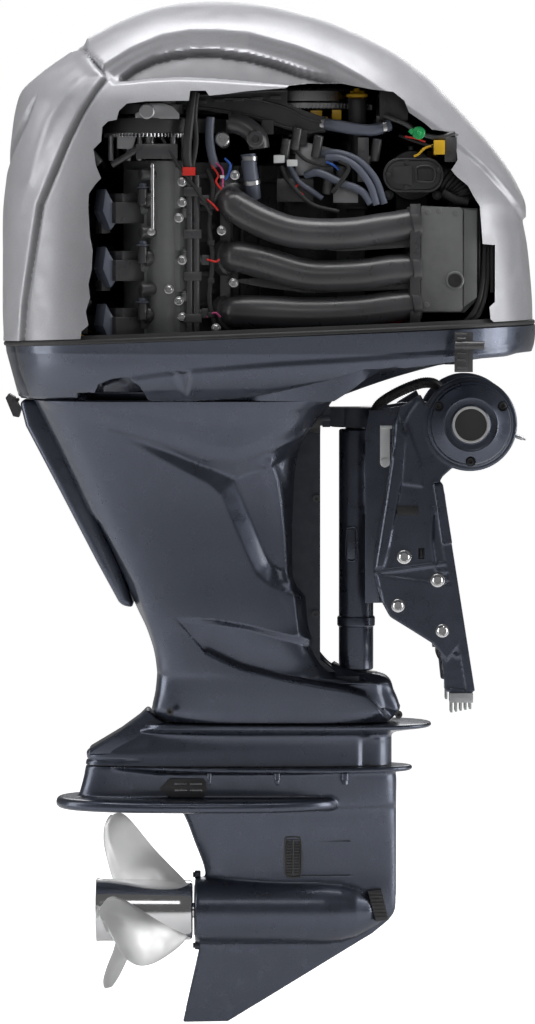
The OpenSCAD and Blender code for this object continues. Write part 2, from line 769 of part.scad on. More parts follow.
module wiring_harness() {
  color(black) {
    sweep(spline([[-505, -222, 600], [-508, -224, 560], [-516, -230, 500], [-518, -246, 462]], 4), 9, 10);
    sweep(spline([[-478, -200, 556], [-476, -204, 510], [-468, -206, 470], [-470, -216, 420],
      [-470, -216, 330], [-470, -216, 240], [-466, -216, 180]], 3), 5, 8);
    sweep(spline([[24, -196, 312], [20, -206, 250], [14, -208, 205], [-10, -206, 180]], 4), 6, 8);
    translate([-56, -196, 472]) cube([24, 20, 38]);
    translate([-94, -150, 528]) rotate([90, 0, 0]) cylinder(r = 15, h = 20);
    translate([-130, -140, 540]) cube([50, 40, 40]);
    translate([28, -120, 226]) cube([14, 240, 104]);
  }
}

module starter_motor() {
  color(black) translate([-215, 110, 0]) {
    translate([0, 0, 300]) cylinder(r = 38, h = 190);
    translate([0, 0, 490]) cylinder(r = 22, h = 30);
    translate([0, 0, 520]) cylinder(r = 9, h = 30);
  }
}

// ---------------------------------------------------------------- rotating parts

module crankshaft() {
  color(steel) {
    translate([crank_x, 0, 62]) cylinder(r = 26, h = 560 - 62 - 4);
    for (i = [0 : 5]) let (a = 120 * i) translate([crank_x, 0, 136 + i * 50]) rotate(a) {
      translate([20, 0, 0]) cylinder(r = 22, h = 30);
      cylinder(r = 50, h = 9);
    }
    translate([crank_x, 0, belt_z - 4]) cylinder(r = crank_sprocket_r, h = belt_h + 6);
  }
}

flywheel_r = 133;
module flywheel() {
  color(steel) translate([crank_x, 0, 574]) difference() {
    union() {
      cylinder(r = flywheel_r - 5, h = 34);
      linear_extrude(11) polygon([for (i = [0 : 223]) let (t = 360 * i / 224)
        (flywheel_r - (i % 4 < 2 ? 0 : 4)) * [cos(t), sin(t)]]);
      translate([0, 0, -18]) cylinder(r = 30, h = 20);
    }
    translate([0, 0, 26]) cylinder(r = flywheel_r - 18, h = 10);
    for (a = [0 : 60 : 300]) rotate(a) translate([70, 0, -1]) cylinder(r = 14, h = 40);
  }
}

module drive_shaft() {
  color(steel) translate([crank_x, 0, -838]) cylinder(r = 14, h = 838 + 62);
}

gear_module = 4;
pinion_r = gear_module * pinion_teeth / 2;
driven_r = gear_module * driven_teeth / 2;
cone_len = norm([pinion_r, driven_r]);
face_w = 15;
tooth_share = 0.16;

// A straight bevel gear with its pitch-cone apex at the origin and its axis up +Z.
module bevel_gear(teeth, r, depth) {
  shrink = (cone_len - face_w) / cone_len;
  half_angle = 360 / teeth * tooth_share;
  root = 1 - 0.9 * gear_module / r;
  tip = 1 + 0.4 * gear_module / r;
  for (i = [0 : teeth - 1]) rotate(360 * i / teeth) hull() {
    for (k = [1, shrink]) translate([0, 0, depth * k - 0.1]) linear_extrude(0.2) polygon([
      r * k * root * [cos(half_angle * 1.35), sin(half_angle * 1.35)],
      r * k * tip * [cos(half_angle * 0.45), sin(half_angle * 0.45)],
      r * k * tip * [cos(half_angle * 0.45), -sin(half_angle * 0.45)],
      r * k * root * [cos(half_angle * 1.35), -sin(half_angle * 1.35)]
    ]);
  }
  hull() {
    translate([0, 0, depth]) cylinder(r = r * root + 0.4, h = 3);
    translate([0, 0, depth * shrink]) cylinder(r = r * shrink * root + 0.4, h = eps);
  }
}

module pinion_gear() {
  color(steel) difference() {
    translate([crank_x, 0, shaft_z]) union() {
      rotate(180 / pinion_teeth) bevel_gear(pinion_teeth, pinion_r, driven_r);
      translate([0, 0, driven_r]) cylinder(r = 18, h = 12);
    }
    translate([crank_x, 0, -838]) cylinder(r = 14, h = 60);
  }
}

module driven_gear() {
  color(steel) difference() {
    translate([crank_x, 0, shaft_z]) rotate([0, 90, 0]) union() {
      rotate(180 / driven_teeth) bevel_gear(driven_teeth, driven_r, pinion_r);
      translate([0, 0, pinion_r]) cylinder(r = 34, h = 16);
    }
    translate([crank_x - 60, 0, shaft_z]) rotate([0, 90, 0]) cylinder(r = 15.05, h = 140);
  }
}

module propeller_shaft() {
  color(steel) translate([0, 0, shaft_z]) rotate([0, 90, 0]) {
    translate([0, 0, -684]) cylinder(r = 11, h = 24);
    translate([0, 0, -661]) cylinder(r = 15, h = 661 + crank_x + 116);
  }
}

hub_x0 = -687;
hub_x1 = -507;
hub_r = 57;
station_diameter = 390;
blade_turn = 96;
// Stations of one blade: [radius, half chord, pitch angle, rake aft, thickness]
blade_stations = [
  [50, 58, 48, 0, 12], [80, 72, 40, 6, 9], [110, 80, 33, 14, 7], [140, 78, 28, 24, 5],
  [165, 64, 25, 34, 4], [184, 40, 22, 42, 3], [193, 14, 21, 46, 2.5]
];
module blade_slice(s) {
  // a flat chord at radius s[0], pitched about the blade's axis (+Z)
  translate([-s[3], 0, s[0] * prop_diameter / station_diameter]) rotate(90 - s[2])
    linear_extrude(eps) scale([s[1], s[4] / 2]) circle(r = 1, $fn = 20);
}
module propeller() {
  color(silver) translate([0, 0, shaft_z]) difference() {
    union() {
      translate([hub_x0, 0, 0]) rotate([0, 90, 0])
        cylinder(r1 = hub_r + 2, r2 = hub_r - 2, h = hub_x1 - hub_x0);
      for (b = [0 : blades - 1]) rotate([blade_turn + 360 * b / blades, 0, 0])
        for (i = [0 : len(blade_stations) - 2]) hull() {
          translate([-585, 0, 0]) blade_slice(blade_stations[i]);
          translate([-585, 0, 0]) blade_slice(blade_stations[i + 1]);
        }
    }
    // exhaust passage around the inner hub, and the shaft's bore
    translate([hub_x0 - 1, 0, 0]) rotate([0, 90, 0]) difference() {
      cylinder(r = hub_r - 6, h = 172);
      translate([0, 0, 24]) cylinder(r = 26, h = 150);
      for (a = [0 : 120 : 240]) rotate(a) translate([26, -4, 24]) cube([30, 8, 150]);
    }
    translate([-800, 0, 0]) rotate([0, 90, 0]) cylinder(r = 15.3, h = 400);
  }
}

nut_x = hub_x0 + 20;
module propeller_nut() {
  color(steel) translate([nut_x, 0, shaft_z]) rotate([0, -90, 0]) difference() {
    union() {
      translate([0, 0, -2.5]) cylinder(r = 26, h = 5);
      translate([0, 0, 2.5]) cylinder(r = 20, h = 20, $fn = 6);
    }
    translate([0, 0, -10]) cylinder(r = 11, h = 60);
  }
}

module cam_sprocket(s) {
  color(grey) translate([cam_x, s * cam_y, 0]) difference() {
    union() {
      translate([0, 0, belt_z - 1]) cylinder(r = cam_sprocket_r, h = belt_h + 2);
      translate([0, 0, 520]) cylinder(r = 20, h = 50);
      translate([0, 0, 484]) cylinder(r = 14, h = 40);
    }
    for (a = [0 : 60 : 300]) rotate(a) translate([48, 0, 500]) cylinder(r = 14, h = 80);
  }
}
module starboard_cam_sprocket() { cam_sprocket(-1); }
module port_cam_sprocket() { cam_sprocket(1); }

// ---------------------------------------------------------------- top cowl and latches

cowl_lift = 10;
cowl_sections = [
  [130, -856, 126, half_w - 12], [200, -859, 125, half_w - 6], [300, -858, 117, half_w],
  [360, -858, 108, half_w], [400, -857, 105, half_w - 4], [450, -851, 84, half_w - 11],
  [510, -844, 42, half_w - 24], [570, -836, -11, half_w - 44], [605, -824, -44, half_w - 59],
  [640, -792, -79, half_w - 79], [685, -732, -139, half_w - 112], [729, -660, -233, half_w - 157],
  [755, -600, -316, half_w - 205], [769, -545, -382, half_w - 255], [775, -495, -420, 24]
];
service_window = [
  [-705, 100], [-709, 316], [-701, 409], [-686, 474], [-683, 557], [-657, 594], [-512, 612],
  [-337, 623], [-170, 623], [-115, 598], [-65, 553], [-17, 520], [-9, 446], [24, 400],
  [54, 335], [54, 100]
];
module top_cowl() {
  color(silver) difference() {
    loft(cowl_sections, 2.8);
    loft([for (s = cowl_sections) [s[0] < 140 ? s[0] - 1 : s[0] > 700 ? s[0] - cowl_wall : s[0],
      s[1], s[2], s[3]]], 2.8, cowl_wall);
    // lower edge, above the seal
    side([[-1000, seam(-1000) + cowl_lift], [-1000, 0], [300, 0], [300, seam(300) + cowl_lift]], -400, 400);
    side(service_window, -400, -60);
  }
}

latch_x = -15;
latch_y = 270;
module side_latch() {
  color(black) {
    side([[latch_x - 15, 100], [latch_x + 15, 100], [latch_x + 15, 168], [latch_x - 15, 168]],
      latch_y, latch_y + 7);
    translate([latch_x - 18, latch_y + 4, 146]) rotate([0, 90, 0]) cylinder(r = 8, h = 54);
  }
}
module port_latch() { side_latch(); }
module starboard_latch() { mirror([0, 1, 0]) side_latch(); }

module rear_latch() {
  color(black) translate([-832, 0, 39.5]) across(4, 40);
  color(black) side([[-852, 44], [-846, 52], [-836, 46], [-824, 22], [-828, 8], [-838, 10]], -28, 28);
}

// ---------------------------------------------------------------- nodes

starboard_clamp_bracket();
port_clamp_bracket();
tilt_tube();
tilt_tube_nut();
tilt_axis_cover();
cover_screws();
bracket_bolts();
bracket_spacer();
trim_unit();
bracket_anode();
trim_cylinder();
trim_rod();
swivel_bracket();
swivel_bushes();
wiring_conduit();
tilt_support_lever();
steering_yoke();
lower_yoke();
mount_rubbers();
lower_cowl();
cowl_seal();
exhaust_housing();
starboard_apron();
port_apron();
rear_apron();
apron_screws();
upper_case();
gearcase();
water_inlet_grilles();
bearing_carrier();
cylinder_block();
cylinder_heads();
cam_covers();
ignition_coils();
intake_runners();
surge_tank();
throttle_body();
throttle_valve();
fuel_rails();
timing_belt();
belt_cover();
oil_filler_tube();
oil_filler_cap();
engine_hoses();
wiring_harness();
starter_motor();
crankshaft();
flywheel();
drive_shaft();
pinion_gear();
starboard_cam_sprocket();
port_cam_sprocket();
propeller_shaft();
driven_gear();
propeller();
propeller_nut();
top_cowl();
rear_latch();
starboard_latch();
port_latch();
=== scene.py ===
import math
import bmesh
import bpy
import numpy as np
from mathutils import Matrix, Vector


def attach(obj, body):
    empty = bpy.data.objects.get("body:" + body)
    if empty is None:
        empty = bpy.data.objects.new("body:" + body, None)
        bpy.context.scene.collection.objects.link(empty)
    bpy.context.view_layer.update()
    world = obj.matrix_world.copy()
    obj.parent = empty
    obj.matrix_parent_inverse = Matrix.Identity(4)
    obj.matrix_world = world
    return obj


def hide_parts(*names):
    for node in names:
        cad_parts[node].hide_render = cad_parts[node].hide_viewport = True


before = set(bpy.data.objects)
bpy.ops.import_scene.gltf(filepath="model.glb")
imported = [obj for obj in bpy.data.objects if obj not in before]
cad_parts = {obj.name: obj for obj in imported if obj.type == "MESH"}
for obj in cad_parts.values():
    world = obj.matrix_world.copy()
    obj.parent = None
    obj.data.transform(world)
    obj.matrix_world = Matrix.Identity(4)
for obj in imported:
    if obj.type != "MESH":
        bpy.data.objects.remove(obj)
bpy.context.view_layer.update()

# All shapes below are in millimetres, in the frame of the CAD part: +X forward, +Y to port, +Z up,
# from the middle of the tilt tube.
MM = 0.001
SEAM_Z, SEAM_SLOPE = 175, 0.0405


def seam(x):
    """Height of the joint between the cowls."""
    return SEAM_Z + SEAM_SLOPE * x


# ---------------------------------------------------------------- materials

class Nodes:
    """Short names for building a node material."""

    def __init__(self, name):
        self.mat = bpy.data.materials.new(name)
        self.mat.use_nodes = True
        self.tree = self.mat.node_tree
        self.shader = self.tree.nodes["Principled BSDF"]
        self.coord = self.tree.nodes.new("ShaderNodeTexCoord").outputs["Object"]

    def add(self, kind, **inputs):
        node = self.tree.nodes.new("ShaderNode" + kind)
        for key, value in inputs.items():
            self.put(node.inputs[key], value)
        return node

    def put(self, socket, value):
        if isinstance(value, bpy.types.NodeSocket):
            self.tree.links.new(value, socket)
        else:
            socket.default_value = value

    def noise(self, scale, detail=3, stretch=None):
        node = self.add("TexNoise", Scale=scale, Detail=detail)
        place = self.coord
        if stretch:
            place = self.add("Mapping", Vector=self.coord, Scale=stretch).outputs[0]
        self.put(node.inputs["Vector"], place)
        return node.outputs["Fac"]

    def span(self, value, lo, hi, start=0.3, end=0.7):
        node = self.add("MapRange", Value=value)
        node.inputs["From Min"].default_value = start
        node.inputs["From Max"].default_value = end
        node.inputs["To Min"].default_value = lo
        node.inputs["To Max"].default_value = hi
        return node.outputs[0]

    def mix(self, fac, a, b):
        node = self.add("Mix")
        node.data_type = "RGBA"
        self.put(node.inputs[0], fac)
        self.put(node.inputs[6], a)
        self.put(node.inputs[7], b)
        return node.outputs[2]

    def math(self, op, a, b=0.0, c=0.1):
        node = self.add("Math")
        node.operation = op
        self.put(node.inputs[0], a)
        self.put(node.inputs[1], b)
        self.put(node.inputs[2], c)
        return node.outputs[0]

    def bump(self, height, strength, distance, normal=None):
        node = self.add("Bump", Height=height, Strength=strength, Distance=distance)
        if normal:
            self.put(node.inputs["Normal"], normal)
        return node.outputs[0]


def rgba(color, gain=1.0):
    return (*[min(1.0, c * gain) for c in color], 1)


def finish_material(name, color, rough=0.4, metal=0.0, coat=0.0, coat_rough=0.15, spec=0.5, grain=300.0,
                    bump=0.1, vary=0.12, rough_vary=0.08, wear=0.0, wear_color=(0.5, 0.5, 0.5),
                    flake=0.0, stretch=None, painted_shade=None):
    """A surface with colour drift, uneven gloss, fine grain and a little wear on its edges, plus painted
    shade where a point attribute asks for it.
    """
    n = Nodes(name)
    broad = n.noise(9, 4)
    fine = n.noise(grain, 2, stretch)
    base = n.mix(n.span(broad, 0, 1), rgba(color, 1 - vary), rgba(color, 1 + vary))
    if flake:
        spark = n.noise(1400, 0)
        base = n.mix(n.span(spark, 0, flake, 0.45, 0.75), base, rgba(color, 2.4))
    # painted shade: the point attribute darkens the base colour towards the given dark colour where shade
    # falls in recesses, grooves and creases
    if painted_shade:
        painted_shade_attr = n.add("Attribute")
        painted_shade_attr.attribute_name = "painted_shade"
        base = n.mix(painted_shade_attr.outputs["Fac"], base, rgba(painted_shade))
    if wear:
        edge = n.add("NewGeometry").outputs["Pointiness"]
        worn = n.math("MULTIPLY", n.span(edge, 0, wear, 0.52, 0.6), n.span(n.noise(60, 5), 0, 1, 0.4, 0.62))
        base = n.mix(worn, base, rgba(wear_color))
    n.put(n.shader.inputs["Base Color"], base)
    n.put(n.shader.inputs["Roughness"], n.span(n.noise(35, 5), rough - rough_vary, rough + rough_vary))
    n.shader.inputs["Metallic"].default_value = metal
    n.shader.inputs["Coat Weight"].default_value = coat
    n.shader.inputs["Coat Roughness"].default_value = coat_rough
    n.shader.inputs["Specular IOR Level"].default_value = spec
    n.put(n.shader.inputs["Normal"], n.bump(fine, bump, 0.0006))
    return n.mat


# navy_paint's last colour is painted shade for its grooves, recesses and creases
NAVY = finish_material("navy_paint", (0.064, 0.073, 0.1), 0.32, 0.8, 0.5, 0.12, grain=900, bump=0.10,
                       vary=0.05, flake=0.3, wear=0.08, wear_color=(0.2, 0.21, 0.24),
                       painted_shade=(0.012, 0.013, 0.018))
DARK = finish_material("dark_paint", (0.028, 0.032, 0.045), 0.42, 0.3, 0.15, grain=500, bump=0.15,
                       wear=0.12, wear_color=(0.1, 0.11, 0.13))
# silver_paint's last colour is painted shade for the cowl's scoop, grooves, rear slash and lower sides
SILVER = finish_material("silver_paint", (0.4, 0.4, 0.425), 0.42, 0.3, 0.35, 0.25, grain=1000, bump=0.06,
                         vary=0.03, flake=0.2, painted_shade=(0.06, 0.06, 0.068))
COWL_INSIDE = finish_material("cowl_liner", (0.02, 0.02, 0.022), 0.8, grain=200, bump=0.6, vary=0.3)
CHROME = finish_material("polished_steel", (0.72, 0.72, 0.73), 0.12, 1.0, grain=220, bump=0.03, vary=0.03,
                         rough_vary=0.05)
STEEL = finish_material("bright_steel", (0.55, 0.55, 0.56), 0.3, 1.0, grain=500, bump=0.12, vary=0.08,
                        wear=0.3, wear_color=(0.75, 0.75, 0.76))
ALLOY = finish_material("cast_alloy", (0.36, 0.36, 0.37), 0.5, 0.85, grain=350, bump=0.35, vary=0.15)
BRUSHED = finish_material("brushed_steel", (0.6, 0.6, 0.6), 0.42, 0.6, grain=260, bump=0.05, vary=0.05,
                          stretch=(1, 1, 6))
ZINC = finish_material("anode_zinc", (0.42, 0.43, 0.44), 0.55, 0.7, grain=260, bump=0.5, vary=0.2)
BRONZE = finish_material("bush_bronze", (0.36, 0.27, 0.14), 0.35, 0.9, grain=400, bump=0.2)
RUBBER = finish_material("black_rubber", (0.024, 0.024, 0.025), 0.55, grain=420, bump=0.35, vary=0.3)
PLASTIC = finish_material("black_plastic", (0.04, 0.04, 0.043), 0.42, grain=700, bump=0.35, vary=0.3,
                          wear=0.3, wear_color=(0.06, 0.06, 0.065))
SATIN = finish_material("satin_black", (0.06, 0.06, 0.064), 0.32, 0.0, 0.3, 0.25, grain=500, bump=0.12,
                        vary=0.2, wear=0.3, wear_color=(0.07, 0.07, 0.075))
GREY_PLASTIC = finish_material("grey_plastic", (0.17, 0.175, 0.173), 0.42, grain=800, bump=0.4, vary=0.15,
                               wear=0.4, wear_color=(0.2, 0.205, 0.2))
HOSE = finish_material("grey_hose", (0.13, 0.145, 0.19), 0.38, grain=600, bump=0.15, vary=0.15)
YELLOW = finish_material("yellow_plastic", (0.85, 0.5, 0.02), 0.35, grain=500, bump=0.1)
GREEN = finish_material("green_plastic", (0.02, 0.42, 0.12), 0.35, grain=500, bump=0.1)
RED = finish_material("red_plastic", (0.75, 0.03, 0.02), 0.35, grain=500, bump=0.1)
WHITE = finish_material("white_plastic", (0.75, 0.76, 0.76), 0.4, grain=500, bump=0.1)
PINK = finish_material("pink_wire", (0.6, 0.08, 0.25), 0.4, grain=500, bump=0.1)
BLUE = finish_material("blue_wire", (0.03, 0.12, 0.5), 0.4, grain=500, bump=0.1)

# ---------------------------------------------------------------- mesh kit


def make_object(name, verts, faces):
    """A scene object from points in millimetres."""
    mesh = bpy.data.meshes.new(name)
    mesh.from_pydata((np.asarray(verts, float) * MM).tolist(), [], [list(map(int, f)) for f in faces])
    obj = bpy.data.objects.new(name, mesh)
    bpy.context.scene.collection.objects.link(obj)
    work = bmesh.new()
    work.from_mesh(mesh)
    bmesh.ops.recalc_face_normals(work, faces=work.faces)
    work.to_mesh(mesh)
    work.free()
    return obj


def apply_modifiers(obj):
    bpy.context.view_layer.update()
    shape = bpy.data.meshes.new_from_object(obj.evaluated_get(bpy.context.evaluated_depsgraph_get()))
    obj.modifiers.clear()
    old = obj.data
    obj.data = shape
    shape.name = obj.name
    bpy.data.meshes.remove(old)


def modify(obj, kind, **settings):
    mod = obj.modifiers.new(kind, kind)
    for key, value in settings.items():
        setattr(mod, key, value)
    return mod


def settle(obj, body, mat, replaces=(), angle=35):
    """Shade the piece, give it its material and its body, and hide the CAD nodes it stands for."""
    obj.data.shade_smooth()
    obj.data.set_sharp_from_angle(angle=math.radians(angle))
    if mat:
        obj.data.materials.clear()
        for m in (mat if isinstance(mat, (list, tuple)) else [mat]):
            obj.data.materials.append(m)
    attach(obj, body)
    if replaces:
        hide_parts(*replaces)
    return obj


def spline(points, steps=6):
    """Points of a smooth curve through the given ones."""
    p = np.asarray(points, float)
    p = np.vstack([2 * p[0] - p[1], p, 2 * p[-1] - p[-2]])
    out = []
    for i in range(1, len(p) - 2):
        for t in np.linspace(0, 1, steps, endpoint=False):
            a, b, c, d = p[i - 1:i + 3]
            out.append(0.5 * (2 * b + (c - a) * t + (2 * a - 5 * b + 4 * c - d) * t ** 2
                              + (3 * b - 3 * c + d - a) * t ** 3))
    out.append(p[-2])
    return np.array(out)


def end_caps(rows, cols):
    """The two faces that close a grid of rings."""
    return [list(range(cols))[::-1], list(range((rows - 1) * cols, rows * cols))]


def extrusion(n):
    """Faces of an outline of n points and its copy: the sides, then both ends."""
    sides = [[i, (i + 1) % n, n + (i + 1) % n, n + i] for i in range(n)]
    return sides + end_caps(2, n)


def grid_faces(rows, cols, close_rows=False, close_cols=False):
    """Quads between the points of a grid, with either way closed into a loop."""
    r = np.arange(rows if close_rows else rows - 1)
    c = np.arange(cols if close_cols else cols - 1)
    i, j = np.meshgrid(r, c, indexing="ij")
    i2, j2 = (i + 1) % rows, (j + 1) % cols
    quads = np.stack([i * cols + j, i * cols + j2, i2 * cols + j2, i2 * cols + j], -1)
    return quads.reshape(-1, 4).tolist()


class Lump:
    """Parts gathered into one mesh."""

    def __init__(self):
        self.v, self.f = [], []

    def add(self, verts, faces):
        base = len(self.v)
        self.v += [tuple(map(float, p)) for p in verts]
        self.f += [[int(i) + base for i in f] for f in faces]
        return self

    def prism(self, outline, y0, y1, shrink=0.0):
        """A side-view outline of (x, z) points, from y0 to y1; shrink pulls the y1 side in."""
        mid = np.mean(outline, 0)
        far = [mid + (np.array(p) - mid) * (1 - shrink) for p in outline]
        verts = [(x, y0, z) for x, z in outline] + [(x, y1, z) for x, z in far]
        return self.add(verts, extrusion(len(outline)))

    def slab(self, outline, z0, z1):
        """A plan-view outline of (x, y) points, from z0 to z1."""
        return self.add([(x, y, z) for z in (z0, z1) for x, y in outline], extrusion(len(outline)))

    def box(self, lo, hi):
        """A box between two opposite corners."""
        return self.prism([(lo[0], lo[2]), (hi[0], lo[2]), (hi[0], hi[2]), (lo[0], hi[2])], lo[1], hi[1])

    def side_box(self, side, lo, hi):
        """A box on the starboard (-1) or port (1) side; both corners are given for the port side."""
        y0, y1 = sorted((side * lo[1], side * hi[1]))
        return self.box((lo[0], y0, lo[2]), (hi[0], y1, hi[2]))

    def lathe(self, at, along, profile, n=32):
        """A turned part: profile rows are (distance along the axis, radius)."""
        axis = Vector(along).normalized()
        side = axis.orthogonal().normalized()
        other = axis.cross(side)
        verts = []
        for s, r in profile:
            for k in range(n):
                t = 2 * math.pi * k / n
                verts.append(Vector(at) + axis * s + (side * math.cos(t) + other * math.sin(t)) * r)
        return self.add(verts, grid_faces(len(profile), n, close_cols=True) + end_caps(len(profile), n))

    def rod(self, a, b, r, n=20, ease=0.15):
        """A round bar with eased ends."""
        length = (Vector(b) - Vector(a)).length
        e = min(r * ease, length * 0.3)
        return self.lathe(a, Vector(b) - Vector(a), [(0, r - e), (e, r), (length - e, r), (length, r - e)],
                          n)

    def tube(self, path, r, n=10, steps=5, ribs=0.0, squash=1.0):
        """A hose through the points; ribs makes it corrugated."""
        p = spline(path, steps) if steps else np.asarray(path, float)
        tangent = np.gradient(p, axis=0)
        tangent /= np.linalg.norm(tangent, axis=1)[:, None]
        normal = Vector(tangent[0]).orthogonal().normalized()
        verts = []
        for i, (c, t) in enumerate(zip(p, tangent)):
            t = Vector(t)
            normal = (normal - t * normal.dot(t)).normalized()
            other = t.cross(normal)
            radius = r[i * (len(r) - 1) // (len(p) - 1)] if isinstance(r, (list, tuple)) else r
            radius *= 1 + (ribs if i % 2 else 0)
            for k in range(n):
                a = 2 * math.pi * k / n
                verts.append(Vector(c) + (normal * math.cos(a) + other * math.sin(a) * squash) * radius)
        return self.add(verts, grid_faces(len(p), n, close_cols=True) + end_caps(len(p), n))

    def rings(self, grid):
        """A closed body from an array of rings."""
        rows, cols = grid.shape[:2]
        return self.add(grid.reshape(-1, 3), grid_faces(rows, cols, close_cols=True) + end_caps(rows, cols))

    def bolt(self, at, along, r=6, washer=True):
        """A hexagon-headed flange bolt standing on the point."""
        if washer:
            self.lathe(at, along, [(0, r * 1.5), (r * 0.18, r * 1.5), (r * 0.3, r * 1.3)], 20)
        top = Vector(at) + Vector(along).normalized() * r * 0.25
        return self.lathe(top, along, [(0, r), (r * 0.7, r), (r * 0.85, r * 0.85)], 6)

    def socket(self, at, along, r=7):
        """A round head with a sunk hexagon."""
        return self.lathe(at, along, [(0, r), (r * 0.5, r), (r * 0.7, r * 0.85), (r * 0.7, r * 0.5),
                                      (r * 0.25, r * 0.45)], 24)

    def both(self):
        """Adds the mirror image on the port side."""
        verts = [(x, -y, z) for x, y, z in self.v]
        return self.add(verts, [f[::-1] for f in self.f])

    def piece(self, name, body, mat, bevel=0.0, replaces=(), slot=None, angle=35, segments=2, voxel=0.0,
              relax=0, sub=0, shrink=0.5):
        obj = make_object(name, self.v, self.f)
        if bevel:
            modify(obj, "BEVEL", width=bevel * MM, segments=segments, limit_method="ANGLE",
                   angle_limit=math.radians(30))
        if voxel:
            modify(obj, "REMESH", mode="VOXEL", voxel_size=voxel * MM, adaptivity=0.0)
        if relax:
            modify(obj, "SMOOTH", factor=shrink, iterations=relax)
        if sub:
            modify(obj, "SUBSURF", levels=sub, render_levels=sub)
        if bevel or voxel or relax or sub:
            apply_modifiers(obj)
        return settle(obj, body, mat, replaces, angle)


def sd(x, z, outline):
    """Signed distance to a closed (x, z) outline, positive inside."""
    pts = np.asarray(outline, float)
    best = np.full(np.shape(x), 1e9)
    inside = np.zeros(np.shape(x), bool)
    for (x0, z0), (x1, z1) in zip(pts, np.roll(pts, -1, 0)):
        dx, dz = x1 - x0, z1 - z0
        t = np.clip(((x - x0) * dx + (z - z0) * dz) / (dx * dx + dz * dz + 1e-9), 0, 1)
        best = np.minimum(best, np.hypot(x - x0 - t * dx, z - z0 - t * dz))
        if z0 != z1:
            inside ^= ((z0 > z) != (z1 > z)) & (x < dx * (z - z0) / (z1 - z0) + x0)
    return np.where(inside, best, -best)


def line_distance(x, z, line):
    """Distance to an open (x, z) line."""
    best = np.full(np.shape(x), 1e9)
    for (x0, z0), (x1, z1) in zip(line[:-1], line[1:]):
        dx, dz = x1 - x0, z1 - z0
        t = np.clip(((x - x0) * dx + (z - z0) * dz) / (dx * dx + dz * dz + 1e-9), 0, 1)
        best = np.minimum(best, np.hypot(x - x0 - t * dx, z - z0 - t * dz))
    return best


def step(value, lo, hi):
    """A smooth rise from 0 at lo to 1 at hi."""
    t = np.clip((value - lo) / (hi - lo), 0, 1)
    return t * t * (3 - 2 * t)


def bell(value, width):
    """A bump of height 1 around 0."""
    return np.exp(-(value / width) ** 2)


def rows_at(rows, s):
    """Catmull-Rom rows at fractional row numbers."""
    rows = np.asarray(rows, float)
    i = np.clip(np.floor(s).astype(int), 0, len(rows) - 2)
    t = (s - i)[:, None]
    a, b = rows[np.maximum(i - 1, 0)], rows[i]
    c, d = rows[i + 1], rows[np.minimum(i + 2, len(rows) - 1)]
    return 0.5 * (2 * b + (c - a) * t + (2 * a - 5 * b + 4 * c - d) * t ** 2
                  + (3 * b - 3 * c + d - a) * t ** 3)


def shell_grid(rows, levels, around, power=2.8):
    """Superellipse rings [z, x0, x1, half width] as an array of points (levels, around, 3)."""
    r = rows_at(rows, levels)
    c, s = np.cos(around), np.sin(around)
    cx, half = (r[:, 1] + r[:, 2]) / 2, (r[:, 2] - r[:, 1]) / 2
    x = cx[:, None] + half[:, None] * np.sign(c) * np.abs(c) ** (2 / power)
    y = r[:, 3][:, None] * np.sign(s) * np.abs(s) ** (2 / power)
    z = np.repeat(r[:, 0][:, None], len(around), 1)
    return np.stack([x, y, z], -1)


def grid_normals(p):
    """Unit outward normals of a grid whose columns close into rings."""
    across = np.roll(p, -1, 1) - np.roll(p, 1, 1)
    up = np.gradient(p, axis=0)
    n = np.cross(across, up)
    return n / (np.linalg.norm(n, axis=-1)[..., None] + 1e-9)


def even_ring(rows, level, count, power=2.8):
    """Ring angles that space points evenly along the ring at one level."""
    t = np.linspace(0, 2 * np.pi, 4001)
    ring = shell_grid(rows, np.array([float(level)]), t, power)[0]
    length = np.concatenate([[0], np.cumsum(np.linalg.norm(np.diff(ring, axis=0), axis=1))])
    return np.interp(np.linspace(0, length[-1], count, endpoint=False), length, t)


def set_painted_shade(obj, values):
    """Stores how much painted shade each point takes, as how far it goes towards the material's dark shade
    colour.
    """
    painted_shade_attr = obj.data.attributes.new("painted_shade", "FLOAT", "POINT")
    painted_shade_attr.data.foreach_set("value", np.asarray(values, np.float32).ravel())


def cut(obj, *cutters):
    """Boolean difference; the cutters are removed afterwards."""
    for cutter in cutters:
        modify(obj, "BOOLEAN", operation="DIFFERENCE", solver="EXACT", object=cutter)
    apply_modifiers(obj)
    for cutter in cutters:
        bpy.data.objects.remove(cutter)


# ---------------------------------------------------------------- top cowl

COWL_RINGS = [
    [140, -856, 126, 305], [200, -858, 124, 311], [300, -857.5, 116, 316.5], [360, -857.5, 107, 316],
    [400, -856, 104, 312], [450, -850.5, 83, 305], [510, -843, 41, 292], [570, -835, -12, 272],
    [605, -823, -45, 257], [640, -791, -80, 237], [685, -731, -140, 204], [729, -659, -234, 159],
    [755, -599, -317, 111], [769, -544, -383, 61], [775, -494, -421, 22]
]
BAND_EDGE = [
    (-666, 648), (-616, 680), (-562, 703), (-511, 712), (-457, 712), (-403, 707), (-318, 683), (-253, 657),
    (-202, 629), (-168, 607), (-117, 574), (-59, 535), (-26, 509), (22, 470), (70, 418), (104, 374)
]
BAND = BAND_EDGE + [(140, 374), (300, 374), (300, 1000), (-740, 1000), (-700, 676)]
SCOOP_RIM = [
    (-642, 642), (-616, 662), (-581, 679), (-546, 688), (-492, 694), (-457, 692), (-403, 684), (-352, 670),
    (-309, 655), (-253, 642), (-202, 618), (-172, 604)
]
SCOOP_LIP = [(-368, 623), (-422, 630), (-475, 635), (-528, 637), (-581, 634), (-616, 630), (-641, 628)]
SCOOP = SCOOP_RIM + [(-250, 608)] + SCOOP_LIP
